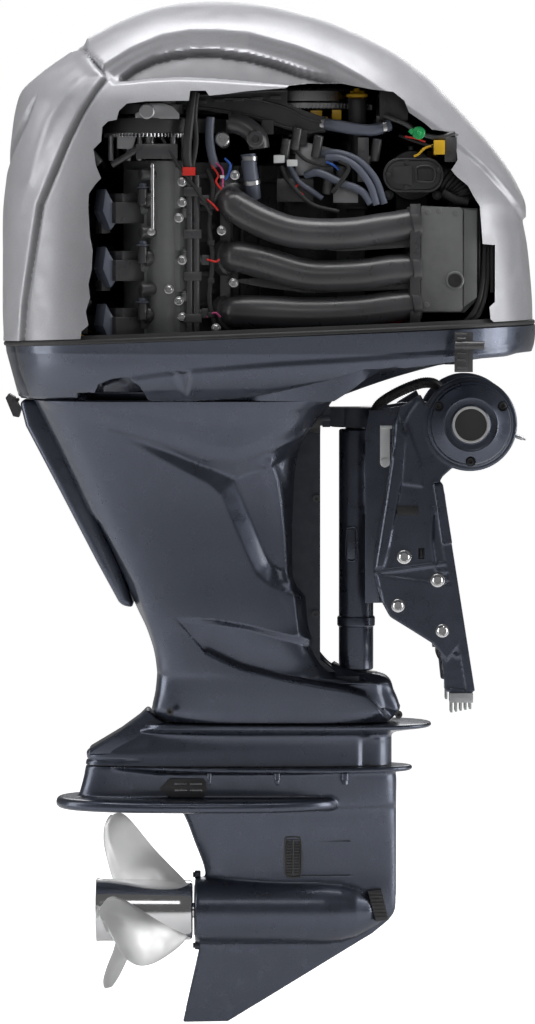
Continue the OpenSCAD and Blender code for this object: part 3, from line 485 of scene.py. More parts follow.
RECESS = BAND_EDGE[:10] + [(-250, 603), (-309, 610), (-368, 614), (-422, 618), (-475, 622), (-528, 624),
                           (-581, 622), (-616, 618), (-650, 616), (-664, 632)]
LEAF_GROOVE = [
    (-822, 616), (-775, 653), (-730, 684), (-712, 687), (-694, 670), (-671, 643), (-661, 631), (-680, 606),
    (-705, 566), (-730, 517), (-754, 461), (-781, 400), (-799, 298), (-812, 224), (-820, 140)
]
LEAF_CREASE = [(-680, 640), (-709, 624), (-740, 592), (-765, 553), (-784, 500), (-800, 440)]
REAR_SLASH = [(-783, 612), (-806, 580), (-838, 520), (-855, 462), (-850, 455), (-835, 490), (-806, 548)]
WINDOW = [
    (-712, 100), (-704, 171), (-691, 182), (-696, 206), (-688, 232), (-691, 256), (-685, 282), (-683, 316),
    (-688, 342), (-691, 394), (-690, 418), (-679, 434), (-668, 446), (-677, 468), (-682, 498), (-668, 512),
    (-666, 538), (-656, 548), (-640, 551), (-636, 567), (-622, 580), (-587, 584), (-510, 585), (-508, 603),
    (-480, 603), (-474, 594), (-444, 597), (-408, 602), (-337, 608), (-330, 613), (-298, 617), (-235, 617),
    (-216, 613), (-179, 606), (-142, 602), (-122, 586), (-114, 565), (-86, 546), (-72, 534), (-30, 529),
    (-26, 479), (-38, 461), (-28, 449), (-8, 433), (6, 408), (14, 396), (19, 328), (42, 326), (42, 223),
    (32, 214), (34, 192), (46, 182), (46, 100)
]
COWL_WALL = 6.0


def cowl_relief(x, z, _):
    """How far the cowl's skin stands out from its plain form, and how much painted shade it takes in the
    scoop, grooves and rear slash and low on the sides.
    """
    band = sd(x, z, BAND)
    recess = sd(x, z, RECESS)
    scoop = sd(x, z, SCOOP)
    lip = line_distance(x, z, [(-309, 616)] + SCOOP_LIP)
    groove = line_distance(x, z, LEAF_GROOVE)
    leaf = sd(x, z, LEAF_GROOVE + [(-950, 140), (-950, 616)])
    crease = line_distance(x, z, LEAF_CREASE)
    slash = sd(x, z, REAR_SLASH)
    out = -7.0 * (1 - step(band, -3, 4)) * (1 - step(leaf, -2, 3))
    out = out - 12 * step(recess, 0, 16) - 14 * step(scoop, -1, 6)
    out = out + 4.0 * bell(lip + 5, 8) * (1 - step(scoop, 0, 4))
    out = out - 4.0 * bell(groove, 4) - 5.5 * step(leaf, 0, 30) * step(x, -1000, -600)
    out = out + 2.0 * bell(crease, 9) - 6.0 * step(slash, -2, 9)
    # painted shade: darkest in the scoop recess, then along the leaf groove and in the rear slash, and
    # darker low on the sides outside the rear leaf
    painted_shade = np.maximum(0.85 * step(scoop, -2, 4), 0.6 * bell(groove, 3.2))
    painted_shade = np.maximum(painted_shade, 0.35 * step(slash, 0, 5))
    painted_shade = np.maximum(painted_shade, 0.3 * (1 - step(z, 230, 600)) * (1 - step(leaf, -2, 10)))
    return out, painted_shade


def skin(name, base, relief, wall, keep=None, cap=True):
    """A shell from a grid of rings: relief(x, z, y) gives the outer side's offset and its painted shade."""
    rows, cols = base.shape[:2]
    normal = grid_normals(base)
    out, painted_shade = relief(base[..., 0], base[..., 2], base[..., 1])
    outer = base + normal * out[..., None]
    inner = base + normal * (np.minimum(out, 0) - wall)[..., None]
    count = rows * cols
    faces = grid_faces(rows, cols, close_cols=True)
    if keep is not None:
        flags = keep(base[..., 0], base[..., 2], base[..., 1]).ravel()
        faces = [f for f in faces if flags[f].all()]
    directed = {(f[k], f[(k + 1) % 4]) for f in faces for k in range(4)}
    edges = [(a, b) for a, b in directed if (b, a) not in directed]
    if cap:
        top = (rows - 1) * cols
        edges = [e for e in edges if e[0] < top or e[1] < top]
        caps = [[top + j for j in range(cols)], [top + count + j for j in range(cols)][::-1]]
    else:
        caps = []
    inside = [[i + count for i in f[::-1]] for f in faces]
    rim = [[b, a, a + count, b + count] for a, b in edges]
    verts = np.concatenate([outer.reshape(-1, 3), inner.reshape(-1, 3)])
    obj = make_object(name, verts, faces + inside + rim + caps)
    set_painted_shade(obj, np.concatenate([painted_shade.ravel(), np.zeros(count)]))
    obj["inner_from"] = len(faces)
    obj["inner_to"] = len(faces) + len(inside)
    return obj


def dark_inside(obj, liner):
    """Gives the inner side of a shell the liner material."""
    obj.data.materials.append(liner)
    for face in obj.data.polygons[obj["inner_from"]:obj["inner_to"]]:
        face.material_index = 1


def top_cowl():
    rows = COWL_RINGS
    levels = np.concatenate([np.linspace(0, 9, 170, endpoint=False), np.linspace(9, 14, 64)])
    base = shell_grid(rows, levels, even_ring(rows, 3, 820))
    bottom = seam(base[..., 0]) + 10
    share = np.clip((base[..., 2] - 140) / (430 - 140), 0, 1)
    base[..., 2] = np.where(share < 1, bottom + share * (430 - bottom), base[..., 2])

    obj = skin("top_cowl_shell", base, cowl_relief, COWL_WALL)
    obj.data.materials.append(SILVER)
    dark_inside(obj, COWL_INSIDE)
    window = Lump().prism(WINDOW, -420, -70)
    cut(obj, make_object("window_cutter", window.v, window.f))
    settle(obj, "top_cowl", None, ["top_cowl"], 40)


top_cowl()

# ---------------------------------------------------------------- lower cowl and seal

LOWER_RINGS = [[40, -827, -150, 206], [70, -834, -40, 246], [100, -842, 60, 274], [130, -850, 117, 290],
               [200, -858, 124, 303]]
LOWER_FLOOR = [(-900, 44), (-250, 44), (-222, 62), (-196, 82), (-166, 102), (-87, 105), (22, 122),
               (104, 128), (200, 128)]
REAR_GROOVE = [(-834, 150), (-825, 98), (-811, 61), (-803, 40)]
GRIP = [(-713, 57), (-682, 60), (-674, 73), (-649, 84), (-620, 88), (-600, 75), (-579, 40), (-713, 40)]
GRIP_FLOOR = [(-676, 51), (-670, 69), (-641, 82), (-620, 69), (-612, 46), (-676, 46)]
FACET_TOP = [(-724, 49), (-657, 82), (-616, 92), (-534, 104), (-352, 119), (-210, 128), (130, 150)]
FACET_FOOT = [(-500, 40), (-500, 49), (-360, 72), (-216, 96), (-130, 116)]
TEARDROP = [(-545, 101), (-525, 103), (-505, 101), (-508, 78), (-514, 49), (-522, 62), (-534, 80)]


def lower_relief(x, z, y):
    side = step(np.abs(y), 150, 190)
    below = sd(x, z, FACET_TOP + [(130, -50), (-724, -50)])
    foot = sd(x, z, FACET_FOOT + [(-130, -50), (-500, -50)])
    out = -3.0 * bell(line_distance(x, z, REAR_GROOVE), 3.5)
    out = out + 5.0 * step(below, 0, 12) * side * step(x, -730, -660)
    out = out - 9.0 * step(foot, 0, 24) * side
    grip = sd(x, z, GRIP)
    out = out - 20.0 * step(grip, -1, 5) * side + 7.0 * step(sd(x, z, GRIP_FLOOR), 0, 8) * side
    out = out - 9.0 * step(sd(x, z, TEARDROP), -2, 12) * side
    # painted shade: dark in the rear groove and in the grip recess
    painted_shade = np.maximum(0.9 * bell(line_distance(x, z, REAR_GROOVE), 3.0), 0.55 * step(grip, 0, 4) * side)
    return out, painted_shade


def lower_cowl():
    heights = np.linspace(0, 1, 64)
    ring = even_ring(LOWER_RINGS, 3, 700)
    floor_x, floor_z = np.array(LOWER_FLOOR, float).T
    probe = shell_grid(LOWER_RINGS, np.array([3.0]), ring)[0]
    low = np.interp(probe[:, 0], floor_x, floor_z)
    high = seam(probe[:, 0])
    layers = []
    for u in heights:
        z = low + (high - low) * u
        level = np.interp(z, [r[0] for r in LOWER_RINGS], range(len(LOWER_RINGS)))
        row = np.array([shell_grid(LOWER_RINGS, np.array([a]), np.array([t]))[0, 0]
                        for a, t in zip(level, ring)])
        row[:, 2] = z
        layers.append(row)
    layers = np.array(layers)
    normal = grid_normals(layers)
    out, painted_shade = lower_relief(layers[..., 0], layers[..., 2], layers[..., 1])
    rounding = -4.0 * (1 - step(heights, 0, 0.06))[:, None]
    outer = layers + normal * (out + rounding)[..., None]
    flat = outer[0].copy()
    floor_rows = []
    for k in (0.0, 0.4, 0.8, 0.95):
        row = flat.copy()
        row[:, 1] *= k
        row[:, 0] = k * (row[:, 0] + 400) - 400
        row[:, 2] = np.interp(row[:, 0], floor_x, floor_z) - 0.5 + 0.5 * k
        floor_rows.append(row)
    rim = layers[-1].copy()
    inward = normal[-1] * [1, 1, 0]
    lip = [rim - inward * 2 + [0, 0, 0.2], rim - inward * 11, rim - inward * 14 - [0, 0, 34]]
    deep = [lip[-1] * [0.9, 0.85, 1] - [40, 0, 22], lip[-1] * [0.2, 0.0, 1] - [300, 0, 22]]
    grid = np.array(floor_rows + list(outer) + lip + deep)
    rows, cols = grid.shape[:2]
    obj = make_object("lower_cowl_tray", grid.reshape(-1, 3), grid_faces(rows, cols, close_cols=True))
    # painted shade for the side rows; the floor, lip and inner rows take none
    painted_shade_grid = np.zeros((rows, cols))
    first = len(floor_rows)
    painted_shade_grid[first:first + len(heights)] = painted_shade
    set_painted_shade(obj, painted_shade_grid)
    settle(obj, "motor", NAVY, ["lower_cowl"], 40)


lower_cowl()


def cowl_seal():
    ring = even_ring(LOWER_RINGS, 3, 360)
    probe = shell_grid(LOWER_RINGS, np.array([3.6]), ring)[0]
    normal = grid_normals(np.array([probe - [0, 0, 10], probe, probe + [0, 0, 10]]))[1]
    rows = []
    for inset, rise in [(5, 0.4), (1.5, 1.5), (0.6, 4), (1, 7), (3, 9), (11, 9.4), (13, 16),
                        (20, 16), (22, 9.2), (26, 6), (26, 0.6)]:
        row = probe - normal * [1, 1, 0] * inset
        row[:, 2] = seam(row[:, 0]) + rise
        rows.append(row)
    grid = np.array(rows)
    faces = grid_faces(len(rows), len(ring), close_rows=True, close_cols=True)
    obj = make_object("cowl_seal_bead", grid.reshape(-1, 3), faces)
    settle(obj, "motor", RUBBER, ["cowl_seal"], 60)


cowl_seal()

# ---------------------------------------------------------------- leg covers

LEG_RINGS = [
    [-552, -560, -142, 90], [-540, -580, -130, 92], [-528, -590, -124, 94], [-500, -584, -134, 98],
    [-470, -580, -152, 101], [-456, -580, -225, 102], [-430, -584, -262, 104], [-390, -598, -284, 107],
    [-346, -619, -292, 112], [-257, -658, -296, 120], [-150, -708, -296, 134], [-60, -750, -290, 156],
    [0, -779, -272, 178], [43, -799, -248, 200]
]
SHOULDER = [(-657, -9), (-550, -38), (-484, -61), (-426, -70), (-352, -44), (-310, -26), (-265, 16)]
HOLLOW = SHOULDER + [(-262, -330), (-300, -322), (-320, -315), (-368, -293), (-389, -275), (-401, -253),
                     (-447, -145), (-455, -127), (-476, -108), (-616, -34)]
HOLLOW_RIDGE = [(-362, -78), (-350, -110), (-344, -145), (-337, -203), (-333, -257), (-330, -290)]
POST = [(-322, -318), (-318, -350), (-314, -386)]
BLADE_TOP = [(-540, -355), (-473, -360), (-405, -370), (-352, -384), (-262, -406)]
SCOOP_FLOOR = [(-481, -424), (-449, -440), (-417, -454), (-377, -464), (-336, -474), (-272, -486),
               (-216, -496), (-188, -504), (-168, -524), (-142, -556)]
BASIN = BLADE_TOP + [(-100, -420), (-100, -556)] + SCOOP_FLOOR[::-1]
REAR_EDGE = [(-673, -183), (-609, -291), (-589, -356), (-573, -416), (-567, -464), (-569, -496),
             (-577, -545)]


def leg_relief(x, z, y):
    side = step(np.abs(y), 30, 60)
    shoulder = line_distance(x, z, SHOULDER)
    above = sd(x, z, SHOULDER + [(-200, 60), (-900, 60)])
    hollow = sd(x, z, HOLLOW)
    basin = sd(x, z, BASIN)
    rise = line_distance(x, z, SCOOP_FLOOR)
    top = line_distance(x, z, BLADE_TOP)
    ridge = line_distance(x, z, HOLLOW_RIDGE)
    wide = 26 * step(x, -640, -420) + 7
    out = 4.0 * step(above, 0, 30) * bell(above - 16, 60)
    out = out - 17.0 * np.clip(hollow / wide, 0, 1) * step(x, -640, -470) * side
    out = out + 11.0 * bell(ridge, 15) * step(hollow, 0, 16) * side
    out = out - 5.0 * step(x, -333, -300) * step(hollow, 4, 20) * side
    out = out + 2.5 * bell(line_distance(x, z, POST), 7) * side
    chamfer = np.clip(top / 10, 0, 1) * (basin > 0)
    sink = 7.0 * chamfer + 11.0 * np.exp(-(np.maximum(rise - 10, 0) / 42) ** 2) * np.clip(rise / 11, 0, 1)
    fade = step(x, -560, -430)
    out = out - sink * (basin > 0) * fade * side * np.clip(rise / 9, 0, 1)
    rear = sd(x, z, REAR_EDGE + [(-900, -560), (-900, 0)])
    out = out - 9.0 * step(rear, -4, 22)
    # painted shade: a thin dark line along the shoulder crease
    return out, 0.25 * bell(shoulder, 3) * side


def leg_covers():
    levels = np.linspace(0, len(LEG_RINGS) - 1, 260)
    ring = even_ring(LEG_RINGS, 9, 420, 3.4)
    base = shell_grid(LEG_RINGS, levels, ring, 3.4)

    def keep_side(sign):
        def keep(x, z, y):
            open_front = (x > -307) & (np.abs(y) < 44) & (z > -446)
            return (y * sign > -0.5) & ~open_front
        return keep

    for name, sign in (("starboard", -1), ("port", 1)):
        obj = skin(name + "_leg_cover", base, leg_relief, 4.0, keep_side(sign), cap=False)
        co = np.empty(len(obj.data.vertices) * 3)
        obj.data.vertices.foreach_get("co", co)
        co = co.reshape(-1, 3)
        co[:, 1] = np.where(co[:, 1] * sign < 0.0004, 0.0004 * sign, co[:, 1])
        obj.data.vertices.foreach_set("co", co.ravel())
        settle(obj, "motor", NAVY, [name + "_apron"], 45)
        dark_inside(obj, DARK)


leg_covers()

STRIP = [(-826, 41), (-783, 41), (-734, -67), (-642, -262), (-614, -343), (-640, -338),
         (-684, -257), (-758, -114), (-814, -7)]
HEEL = [(-591, -530), (-606, -545), (-640, -570), (-700, -606), (-700, -616), (-560, -612), (-530, -566),
        (-556, -556), (-575, -545)]


def rear_strip():
    strip = Lump()
    strip.prism(STRIP, -52, 52)
    strip.piece("rear_leg_strip", "motor", NAVY, 17, ["rear_apron"], "navy_paint", segments=6)


rear_strip()

# ---------------------------------------------------------------- lower unit

CASE_RINGS = [
    [-634.5, -706, -139, 62], [-622, -704, -139, 62], [-608, -701, -139, 62], [-590, -668, -139, 62],
    [-580, -645, -138, 64], [-574, -630, -128, 70], [-569, -618, -100, 88], [-565, -610, -72, 103],
    [-561, -606, -66, 106], [-557.5, -604, -68, 105], [-556, -600, -76, 100]
]


def upper_case():
    levels = np.linspace(0, len(CASE_RINGS) - 1, 90)
    base = shell_grid(CASE_RINGS, levels, even_ring(CASE_RINGS, 2, 420, 2.8), 2.8)
    normal = grid_normals(base)
    x, z = base[..., 0], base[..., 2]
    low = 1 - step(z, -588, -572)
    out = -6 * bell(x + 190, 9) * low + 3 * bell(x + 165, 14) * low
    out = out - 2.2 * bell(z + 625, 2.5) * (1 - step(x, -640, -600))
    casting = Lump().rings(base + normal * out[..., None])
    casting.piece("upper_case_casting", "motor", NAVY, 0, ["upper_case"], "navy_paint", 40)


upper_case()


def case_heel():
    heel = Lump()
    heel.prism(HEEL, -44, 44)
    heel.piece("upper_case_heel", "motor", NAVY, 9, (), "navy_paint", segments=4)


case_heel()


def loft_lump(lump, rings, power=2.4, around=96, between=4):
    """Adds a closed lofted body to a lump."""
    levels = np.linspace(0, len(rings) - 1, between * (len(rings) - 1) + 1)
    t = np.linspace(0, 2 * np.pi, around, endpoint=False)
    lump.rings(shell_grid(rings, levels, t, power))


SHAFT_Z = -908
TORPEDO = [(-8, 58), (-5, 61), (3, 62), (120, 62), (232, 62), (262, 59), (290, 51), (316, 38), (338, 22),
           (352, 8)]


def gearcase():
    body = Lump()
    loft_lump(body, [[-712, -724, -130, 52], [-700, -721, -130, 55], [-660, -710, -130, 59],
                     [-637, -706, -134, 61]], 2.6, 160)
    loft_lump(body, [[-647, -640, -106, 78], [-644, -655, -101, 83], [-640, -684, -100, 84],
                     [-636.5, -690, -104, 82]], 2.3, 160, 2)
    loft_lump(body, [[-716.5, -748, -240, 112], [-713, -758, -231, 122], [-706, -761, -229, 125],
                     [-698, -759, -231, 122], [-694.5, -752, -238, 114]], 2.5, 160, 3)
    loft_lump(body, [[-952, -486, -186, 18], [-927, -487, -146, 28], [-908, -487, -132, 31],
                     [-880, -486, -130, 33], [-833, -486, -130, 32], [-780, -505, -130, 36],
                     [-740, -520, -130, 42], [-718, -534, -130, 46], [-700, -560, -130, 54]], 2.0, 160)
    body.lathe((-496, 0, SHAFT_Z), (1, 0, 0), TORPEDO, 96)
    top, tip = [(-485, -930), (-300, -935), (-174, -951), (-142, -925)], [(-527, -1118), (-442, -1116)]
    outline = [top[0], tip[0], tip[1], top[2], top[3]]
    thick = [10, 4.5, 4.5, 8, 5]
    verts = [(x, -y, z) for (x, z), y in zip(outline, thick)]
    verts += [(x, y, z) for (x, z), y in zip(outline, thick)]
    body.add(verts, extrusion(len(outline)))
    body.piece("gearcase_casting", "motor", NAVY, 0, ["gearcase"], "navy_paint", 30, voxel=2.6, relax=9)


gearcase()


def lower_unit_bolts():
    trim = Lump()
    for x, r in ((-351, 6), (-226, 7), (-476, 4)):
        for y in (-66, 66):
            trim.rod((x, y, -646), (x, y, -660), r)
            trim.lathe((x, y, -660), (0, 0, -1), [(0, r * 0.75), (7, r * 0.75), (9, r * 0.5)], 6)
    for z in (-777, -841):
        trim.rod((-306, -35.2, z), (-215, -34.6, z), 1.2, 8)
    trim.piece("lower_unit_bolts", "motor", NAVY, 0, (), "navy_paint")


lower_unit_bolts()


def inlet_grilles():
    lump = Lump()
    for s in (-1, 1):
        mouth = [(-337, -834), (-330, -842), (-314, -842), (-307, -834), (-307, -776), (-314, -768),
                 (-330, -768), (-337, -776)]
        lump.prism(mouth, s * 20, s * 36.5)
        for i in range(13):
            z = -837 + 5.2 * i
            lump.side_box(s, (-334, 36, z), (-310, 38.5, z + 2.2))
        lump.tube([(x, s * 37, z) for x, z in mouth + mouth[:1]], 1.8, 8, 4)
        lump.rod((-322, s * 38, -838), (-322, s * 38, -772), 1.5, 8)
        louvre = [(-568, -675), (-550, -657), (-487, -657), (-481, -664), (-481, -685), (-487, -692),
                  (-546, -692), (-568, -680)]
        lump.prism(louvre, s * 50, s * 61.5, 0.03)
        lump.prism([(-184, -868), (-158, -866), (-145, -922), (-168, -926)], s * 10, s * 36, 0.02)
        for i in range(8):
            z = -873 - 6.4 * i
            x = -181 + 1.55 * i
            lump.side_box(s, (x, 33, z), (x + 24, 37.5, z + 2.6))
    lump.piece("inlet_grille_frames", "motor", PLASTIC, 0.8, ["water_inlet_grilles"], "soft_black")
    slots = Lump()
    for s in (-1, 1):
        for x0, x1 in ((-540, -518), (-512, -490)):
            for z in (-667, -679):
                slots.rod((x0, s * 61.5, z), (x1, s * 61.5, z), 2.2, 10)
    slots.piece("louvre_slats", "motor", STEEL, 0, (), "bright_steel")


inlet_grilles()

# ---------------------------------------------------------------- propeller

BLADE = [
    # radius, chord, middle of the chord, thickness, skew in degrees
    (50, 158, -580, 9, 3), (75, 164, -592, 7.5, 7), (100, 164, -608, 6, 9), (122, 156, -622, 5, 10),
    (145, 140, -636, 4, 8), (164, 112, -646, 3.2, 5), (177, 80, -652, 2.6, 2), (184, 46, -655, 2.2, 0),
    (186.5, 10, -656, 1.6, 0)
]
PITCH = 533


def propeller():
    lump = Lump()
    rows = spline(BLADE, 5)
    chordwise = np.sin(np.linspace(-np.pi / 2, np.pi / 2, 33)) / 2
    for angle in (-24, 96, 216):
        grid = []
        for r, chord, mid, thick, skew in rows:
            pitch = math.atan(PITCH / (2 * math.pi * r))
            ring = []
            for side in (1, -1):
                for u in (chordwise if side > 0 else chordwise[-2:0:-1]):
                    t = side * thick * math.sqrt(max(0.0, 1 - 4 * u * u)) / 2
                    cup = 5.0 * step(-u, 0.36, 0.5) * min(1, r / 120)
                    ahead = u * chord * math.sin(pitch) + (t - cup) * math.cos(pitch)
                    turn = (u * chord * math.cos(pitch) - (t - cup) * math.sin(pitch)) / r
                    a = math.radians(angle + skew) + turn
                    ring.append((mid + ahead, -r * math.sin(a), SHAFT_Z + r * math.cos(a)))
            grid.append(ring)
        lump.rings(np.array(grid))
    lump.piece("propeller_blades", "prop", BRUSHED, 0, ["propeller"], "polished_steel", 35)
    lump = Lump()
    lump.lathe((-687, 0, SHAFT_Z), (1, 0, 0), [
        (24, 26), (24, 53), (1, 55), (0, 57), (2, 59.5), (8, 58), (60, 57.5), (150, 56), (174, 55.5),
        (178, 53), (179, 49), (179, 18)], 96)
    lump.lathe((-668, 0, SHAFT_Z), (1, 0, 0), [(0, 24), (2, 26), (150, 26)], 48)
    lump.piece("propeller_hub_casting", "prop", CHROME, 0, (), "polished_steel", 35)
    nut = Lump()
    nut.lathe((-664, 0, SHAFT_Z), (-1, 0, 0), [(0, 25), (4, 25), (5, 23)], 32)
    nut.lathe((-669, 0, SHAFT_Z), (-1, 0, 0), [(0, 19), (16, 19), (19, 15)], 6)
    nut.piece("propeller_lock_nut", "prop", STEEL, 0.6, ["propeller_nut"], "bright_steel")


propeller()


def carrier_lugs():
    carrier = Lump()
    carrier.lathe((-505, 0, SHAFT_Z), (1, 0, 0), [(0, 16), (0, 46), (2, 50), (10, 50)], 64)
    for s in (-1, 1):
        carrier.rod((-504, 0, SHAFT_Z + s * 66), (-493, 0, SHAFT_Z + s * 66), 8, 24)
        carrier.socket((-504, 0, SHAFT_Z + s * 66), (-1, 0, 0), 5)
    carrier.piece("carrier_lugs", "motor", DARK, 1, ["bearing_carrier"], "navy_paint")


carrier_lugs()

# ---------------------------------------------------------------- powerhead

CRANK_X = -309
BANK_COS, BANK_SIN = math.cos(math.radians(30)), math.sin(math.radians(30))
COIL_Z = (198, 301, 405)


def to_bank(lump, side):
    """Turns a lump drawn in a bank's frame (x out along the cylinders, y across) into the part's frame."""
    lump.v = [(CRANK_X - BANK_COS * x - BANK_SIN * y, side * (BANK_SIN * x - BANK_COS * y), z)
              for x, y, z in lump.v]
    return lump


def both_banks(draw, *args):
    whole = Lump()
    for side in (-1, 1):
        part = Lump()
        draw(part, *args)
        to_bank(part, side)
        whole.add(part.v, part.f)
    return whole


def block(part):
    part.slab([(46, -64), (181, -64), (181, 64), (46, 64)], 82, 470)
    for z in (120, 200, 280, 360, 440):
        part.slab([(60, -72), (178, -72), (178, 72), (60, 72)], z, z + 7)
    for x in (80, 120, 160):
        part.slab([(x, -69), (x + 6, -69), (x + 6, 69), (x, 69)], 84, 468)


def engine_block():
    lump = both_banks(block)
    lump.lathe((CRANK_X, 0, 81), (0, 0, 1), [(0, 92), (3, 96), (386, 96), (392, 90)], 64)
    lump.box((-319, -69, 112), (-190, 69, 428))
    lump.box((-449, -108, 54), (-253, 108, 82))
    lump.lathe((CRANK_X, 0, 470), (0, 0, 1), [(0, 60), (22, 58), (23, 40)], 40)
    for z in (150, 210, 270, 330, 390):
        lump.box((-225, -74, z), (-186, 74, z + 6))
    lump.piece("engine_block", "motor", SATIN, 1.6, ["cylinder_block"], "engine_black")


engine_block()


def head(part):
    part.slab([(182.5, -71), (266, -71), (266, 71), (182.5, 71)], 81, 475)
    for z in (96, 152, 214, 270, 332, 388, 446):
        part.slab([(190, -77), (262, -77), (262, -70), (190, -70)], z, z + 9)
        part.bolt((226, -71, z + 28), (0, -1, 0), 6)


both_banks(head).piece("cylinder_head_castings", "motor", PLASTIC, 1.4, ["cylinder_heads"], "engine_grey")


def cover(part):
    outline = [(268.6, -75), (300, -77), (318, -72), (332, -60), (338, -44), (338, 60), (326, 72),
               (268.6, 76)]
    part.slab(outline, 78, 478)
    for z0, z1 in ((88, 150), (166, 226), (242, 300), (316, 376), (392, 466)):
        part.slab([(272, -82), (300, -82), (306, -76), (306, -70), (272, -70)], z0, z1)
    for z in (157, 233, 308, 384, 472):
        part.rod((290, -84, z - 9), (290, -84, z + 5), 6.5)
        part.bolt((290, -84, z + 5), (0, 0, 1), 5)
    part.slab([(336, -30), (346, -24), (346, 40), (336, 46)], 100, 462)
    for z in COIL_Z:
        part.lathe((338, -10, z), (1, 0, 0), [(0, 30), (10, 28), (12, 24)], 32)


both_banks(cover).piece("rocker_covers", "motor", GREY_PLASTIC, 2.2, ["cam_covers"], "engine_black",
                        segments=3)


def coil(part):
    for z in COIL_Z:
        part.slab([(338, -26), (366, -28), (398, -22), (404, -8), (404, 16), (396, 30), (366, 34),
                   (338, 30)], z - 40, z - 2)
        part.slab([(338, -20), (384, -22), (392, -10), (392, 14), (384, 24), (338, 24)], z - 6, z + 14)
        part.rod((352, -38, z + 24), (352, -38, z - 8), 9)
        part.lathe((330, -36, z + 2), (1, 0, 0), [(0, 16), (16, 16), (19, 12)], 24)
        part.lathe((330, -46, z + 48), (1, 0, 0), [(0, 11), (30, 11), (32, 8)], 20)
        part.box((392, 10, z - 58), (410, 34, z - 34))


def coil_plates(part):
    for z in COIL_Z:
        part.prism([(392, z - 14), (414, z + 22), (420, z - 18), (404, z - 52), (394, z - 40)], -14, 22)
        part.bolt((352, -38, z + 24), (0, 0, 1), 8)


both_banks(coil).piece("coil_bodies", "motor", SATIN, 2, ["ignition_coils"], "engine_black", segments=3)
both_banks(coil_plates).piece("coil_heat_plates", "motor", HOSE, 1.2, (), "engine_grey")


def fuel_rails():
    rail = Lump()
    rail.rod((-510, -220, 168), (-510, -220, 452), 6.5)
    rail.rod((-497.5, -221, 168), (-497.5, -221, 452), 5.5)
    rail.box((-516, -217, 175), (-491, -209, 448))
    for z in (186, 262, 338, 414):
        rail.box((-520, -227, z), (-488, -213, z + 16))
    for z in (204, 300, 408):
        rail.rod((-497, -210, z), (-480, -208, z - 3), 8)
        rail.box((-488, -220, z - 10), (-474, -204, z + 8))
    rail.both()
    rail.piece("fuel_rail_tubes", "motor", SATIN, 1.2, ["fuel_rails"], "engine_black")


fuel_rails()


def plated_fasteners():
    bolts = Lump()
    for x, z in ((-523, 403), (-529, 375), (-523, 299), (-529, 225), (-523, 196), (-547, 246), (-428, 452),
                 (-452, 352), (-430, 258), (-462, 176), (-523, 440)):
        bolts.lathe((x, -222, z), (0, -1, 0), [(0, 8.5), (3, 8.5), (4, 7), (4, 5.5), (12, 5.5), (13, 4.5)],
                    18)
    bolts.rod((-576, -246, 472), (-576, -246, 352), 3.2)
    bolts.lathe((-578, -240, 350), (0, -1, 0), [(0, 7), (8, 7), (9, 5)], 16)
    bolts.lathe((-451, -190, 517), (0, -1, 0), [(0, 11), (8, 13.5), (14, 13.5), (16, 11), (16, 5), (13, 4)],
                32)
    bolts.both()
    bolts.piece("zinc_plated_fasteners", "motor", STEEL, 0, (), "bright_steel")


plated_fasteners()

RUNNERS = [
    [(-446, -184, 418), (-426, -208, 396), (-378, -222, 368), (-318, -226, 349), (-233, -222, 346),
     (-160, -212, 356), (-100, -200, 366)],
    [(-446, -184, 302), (-420, -208, 304), (-376, -222, 294), (-296, -226, 272), (-210, -222, 272),
     (-150, -212, 280), (-100, -200, 284)],
    [(-446, -184, 202), (-420, -208, 206), (-370, -222, 206), (-296, -226, 203), (-210, -222, 206),
     (-150, -212, 214), (-100, -200, 220)]
]


def intake_pipes():
    pipes = Lump()
    for route in RUNNERS:
        widths = [27, 29, 29, 28.5, 28.5, 28, 27.5, 27]
        pipes.tube(route, widths, 40, 9)
        start, then = Vector(route[0]), Vector(route[1])
        pipes.lathe(start, start - then, [(-14, 29), (-12, 33), (2, 34), (4, 31)], 40)
        end, before = Vector(route[-1]), Vector(route[-2])
        pipes.lathe(end, before - end, [(-3, 31), (2, 32), (12, 31), (14, 28)], 40)
    pipes.both()
    pipes.piece("intake_pipes", "motor", SATIN, 0, ["intake_runners"], "engine_black", 50)


intake_pipes()


def intake_webs():
    web = Lump()
    web.prism([(-440, 390), (-400, 352), (-330, 322), (-230, 314), (-110, 322), (-110, 336), (-230, 330),
               (-330, 340), (-400, 372)], -205, -196)
    web.prism([(-440, 262), (-380, 250), (-296, 238), (-110, 246), (-110, 262), (-296, 252), (-380, 268)],
              -205, -196)
    web.box((-112, -228, 178), (-93, -170, 400))
    web.box((-455, -196, 172), (-436, -150, 452))
    for x, z in ((-428, 248), (-408, 170), (-330, 168), (-240, 168)):
        web.rod((x, -190, z), (x, -190, z + 30), 9)
    web.both()
    web.piece("intake_webs", "motor", SATIN, 1.5, (), "engine_black")


intake_webs()


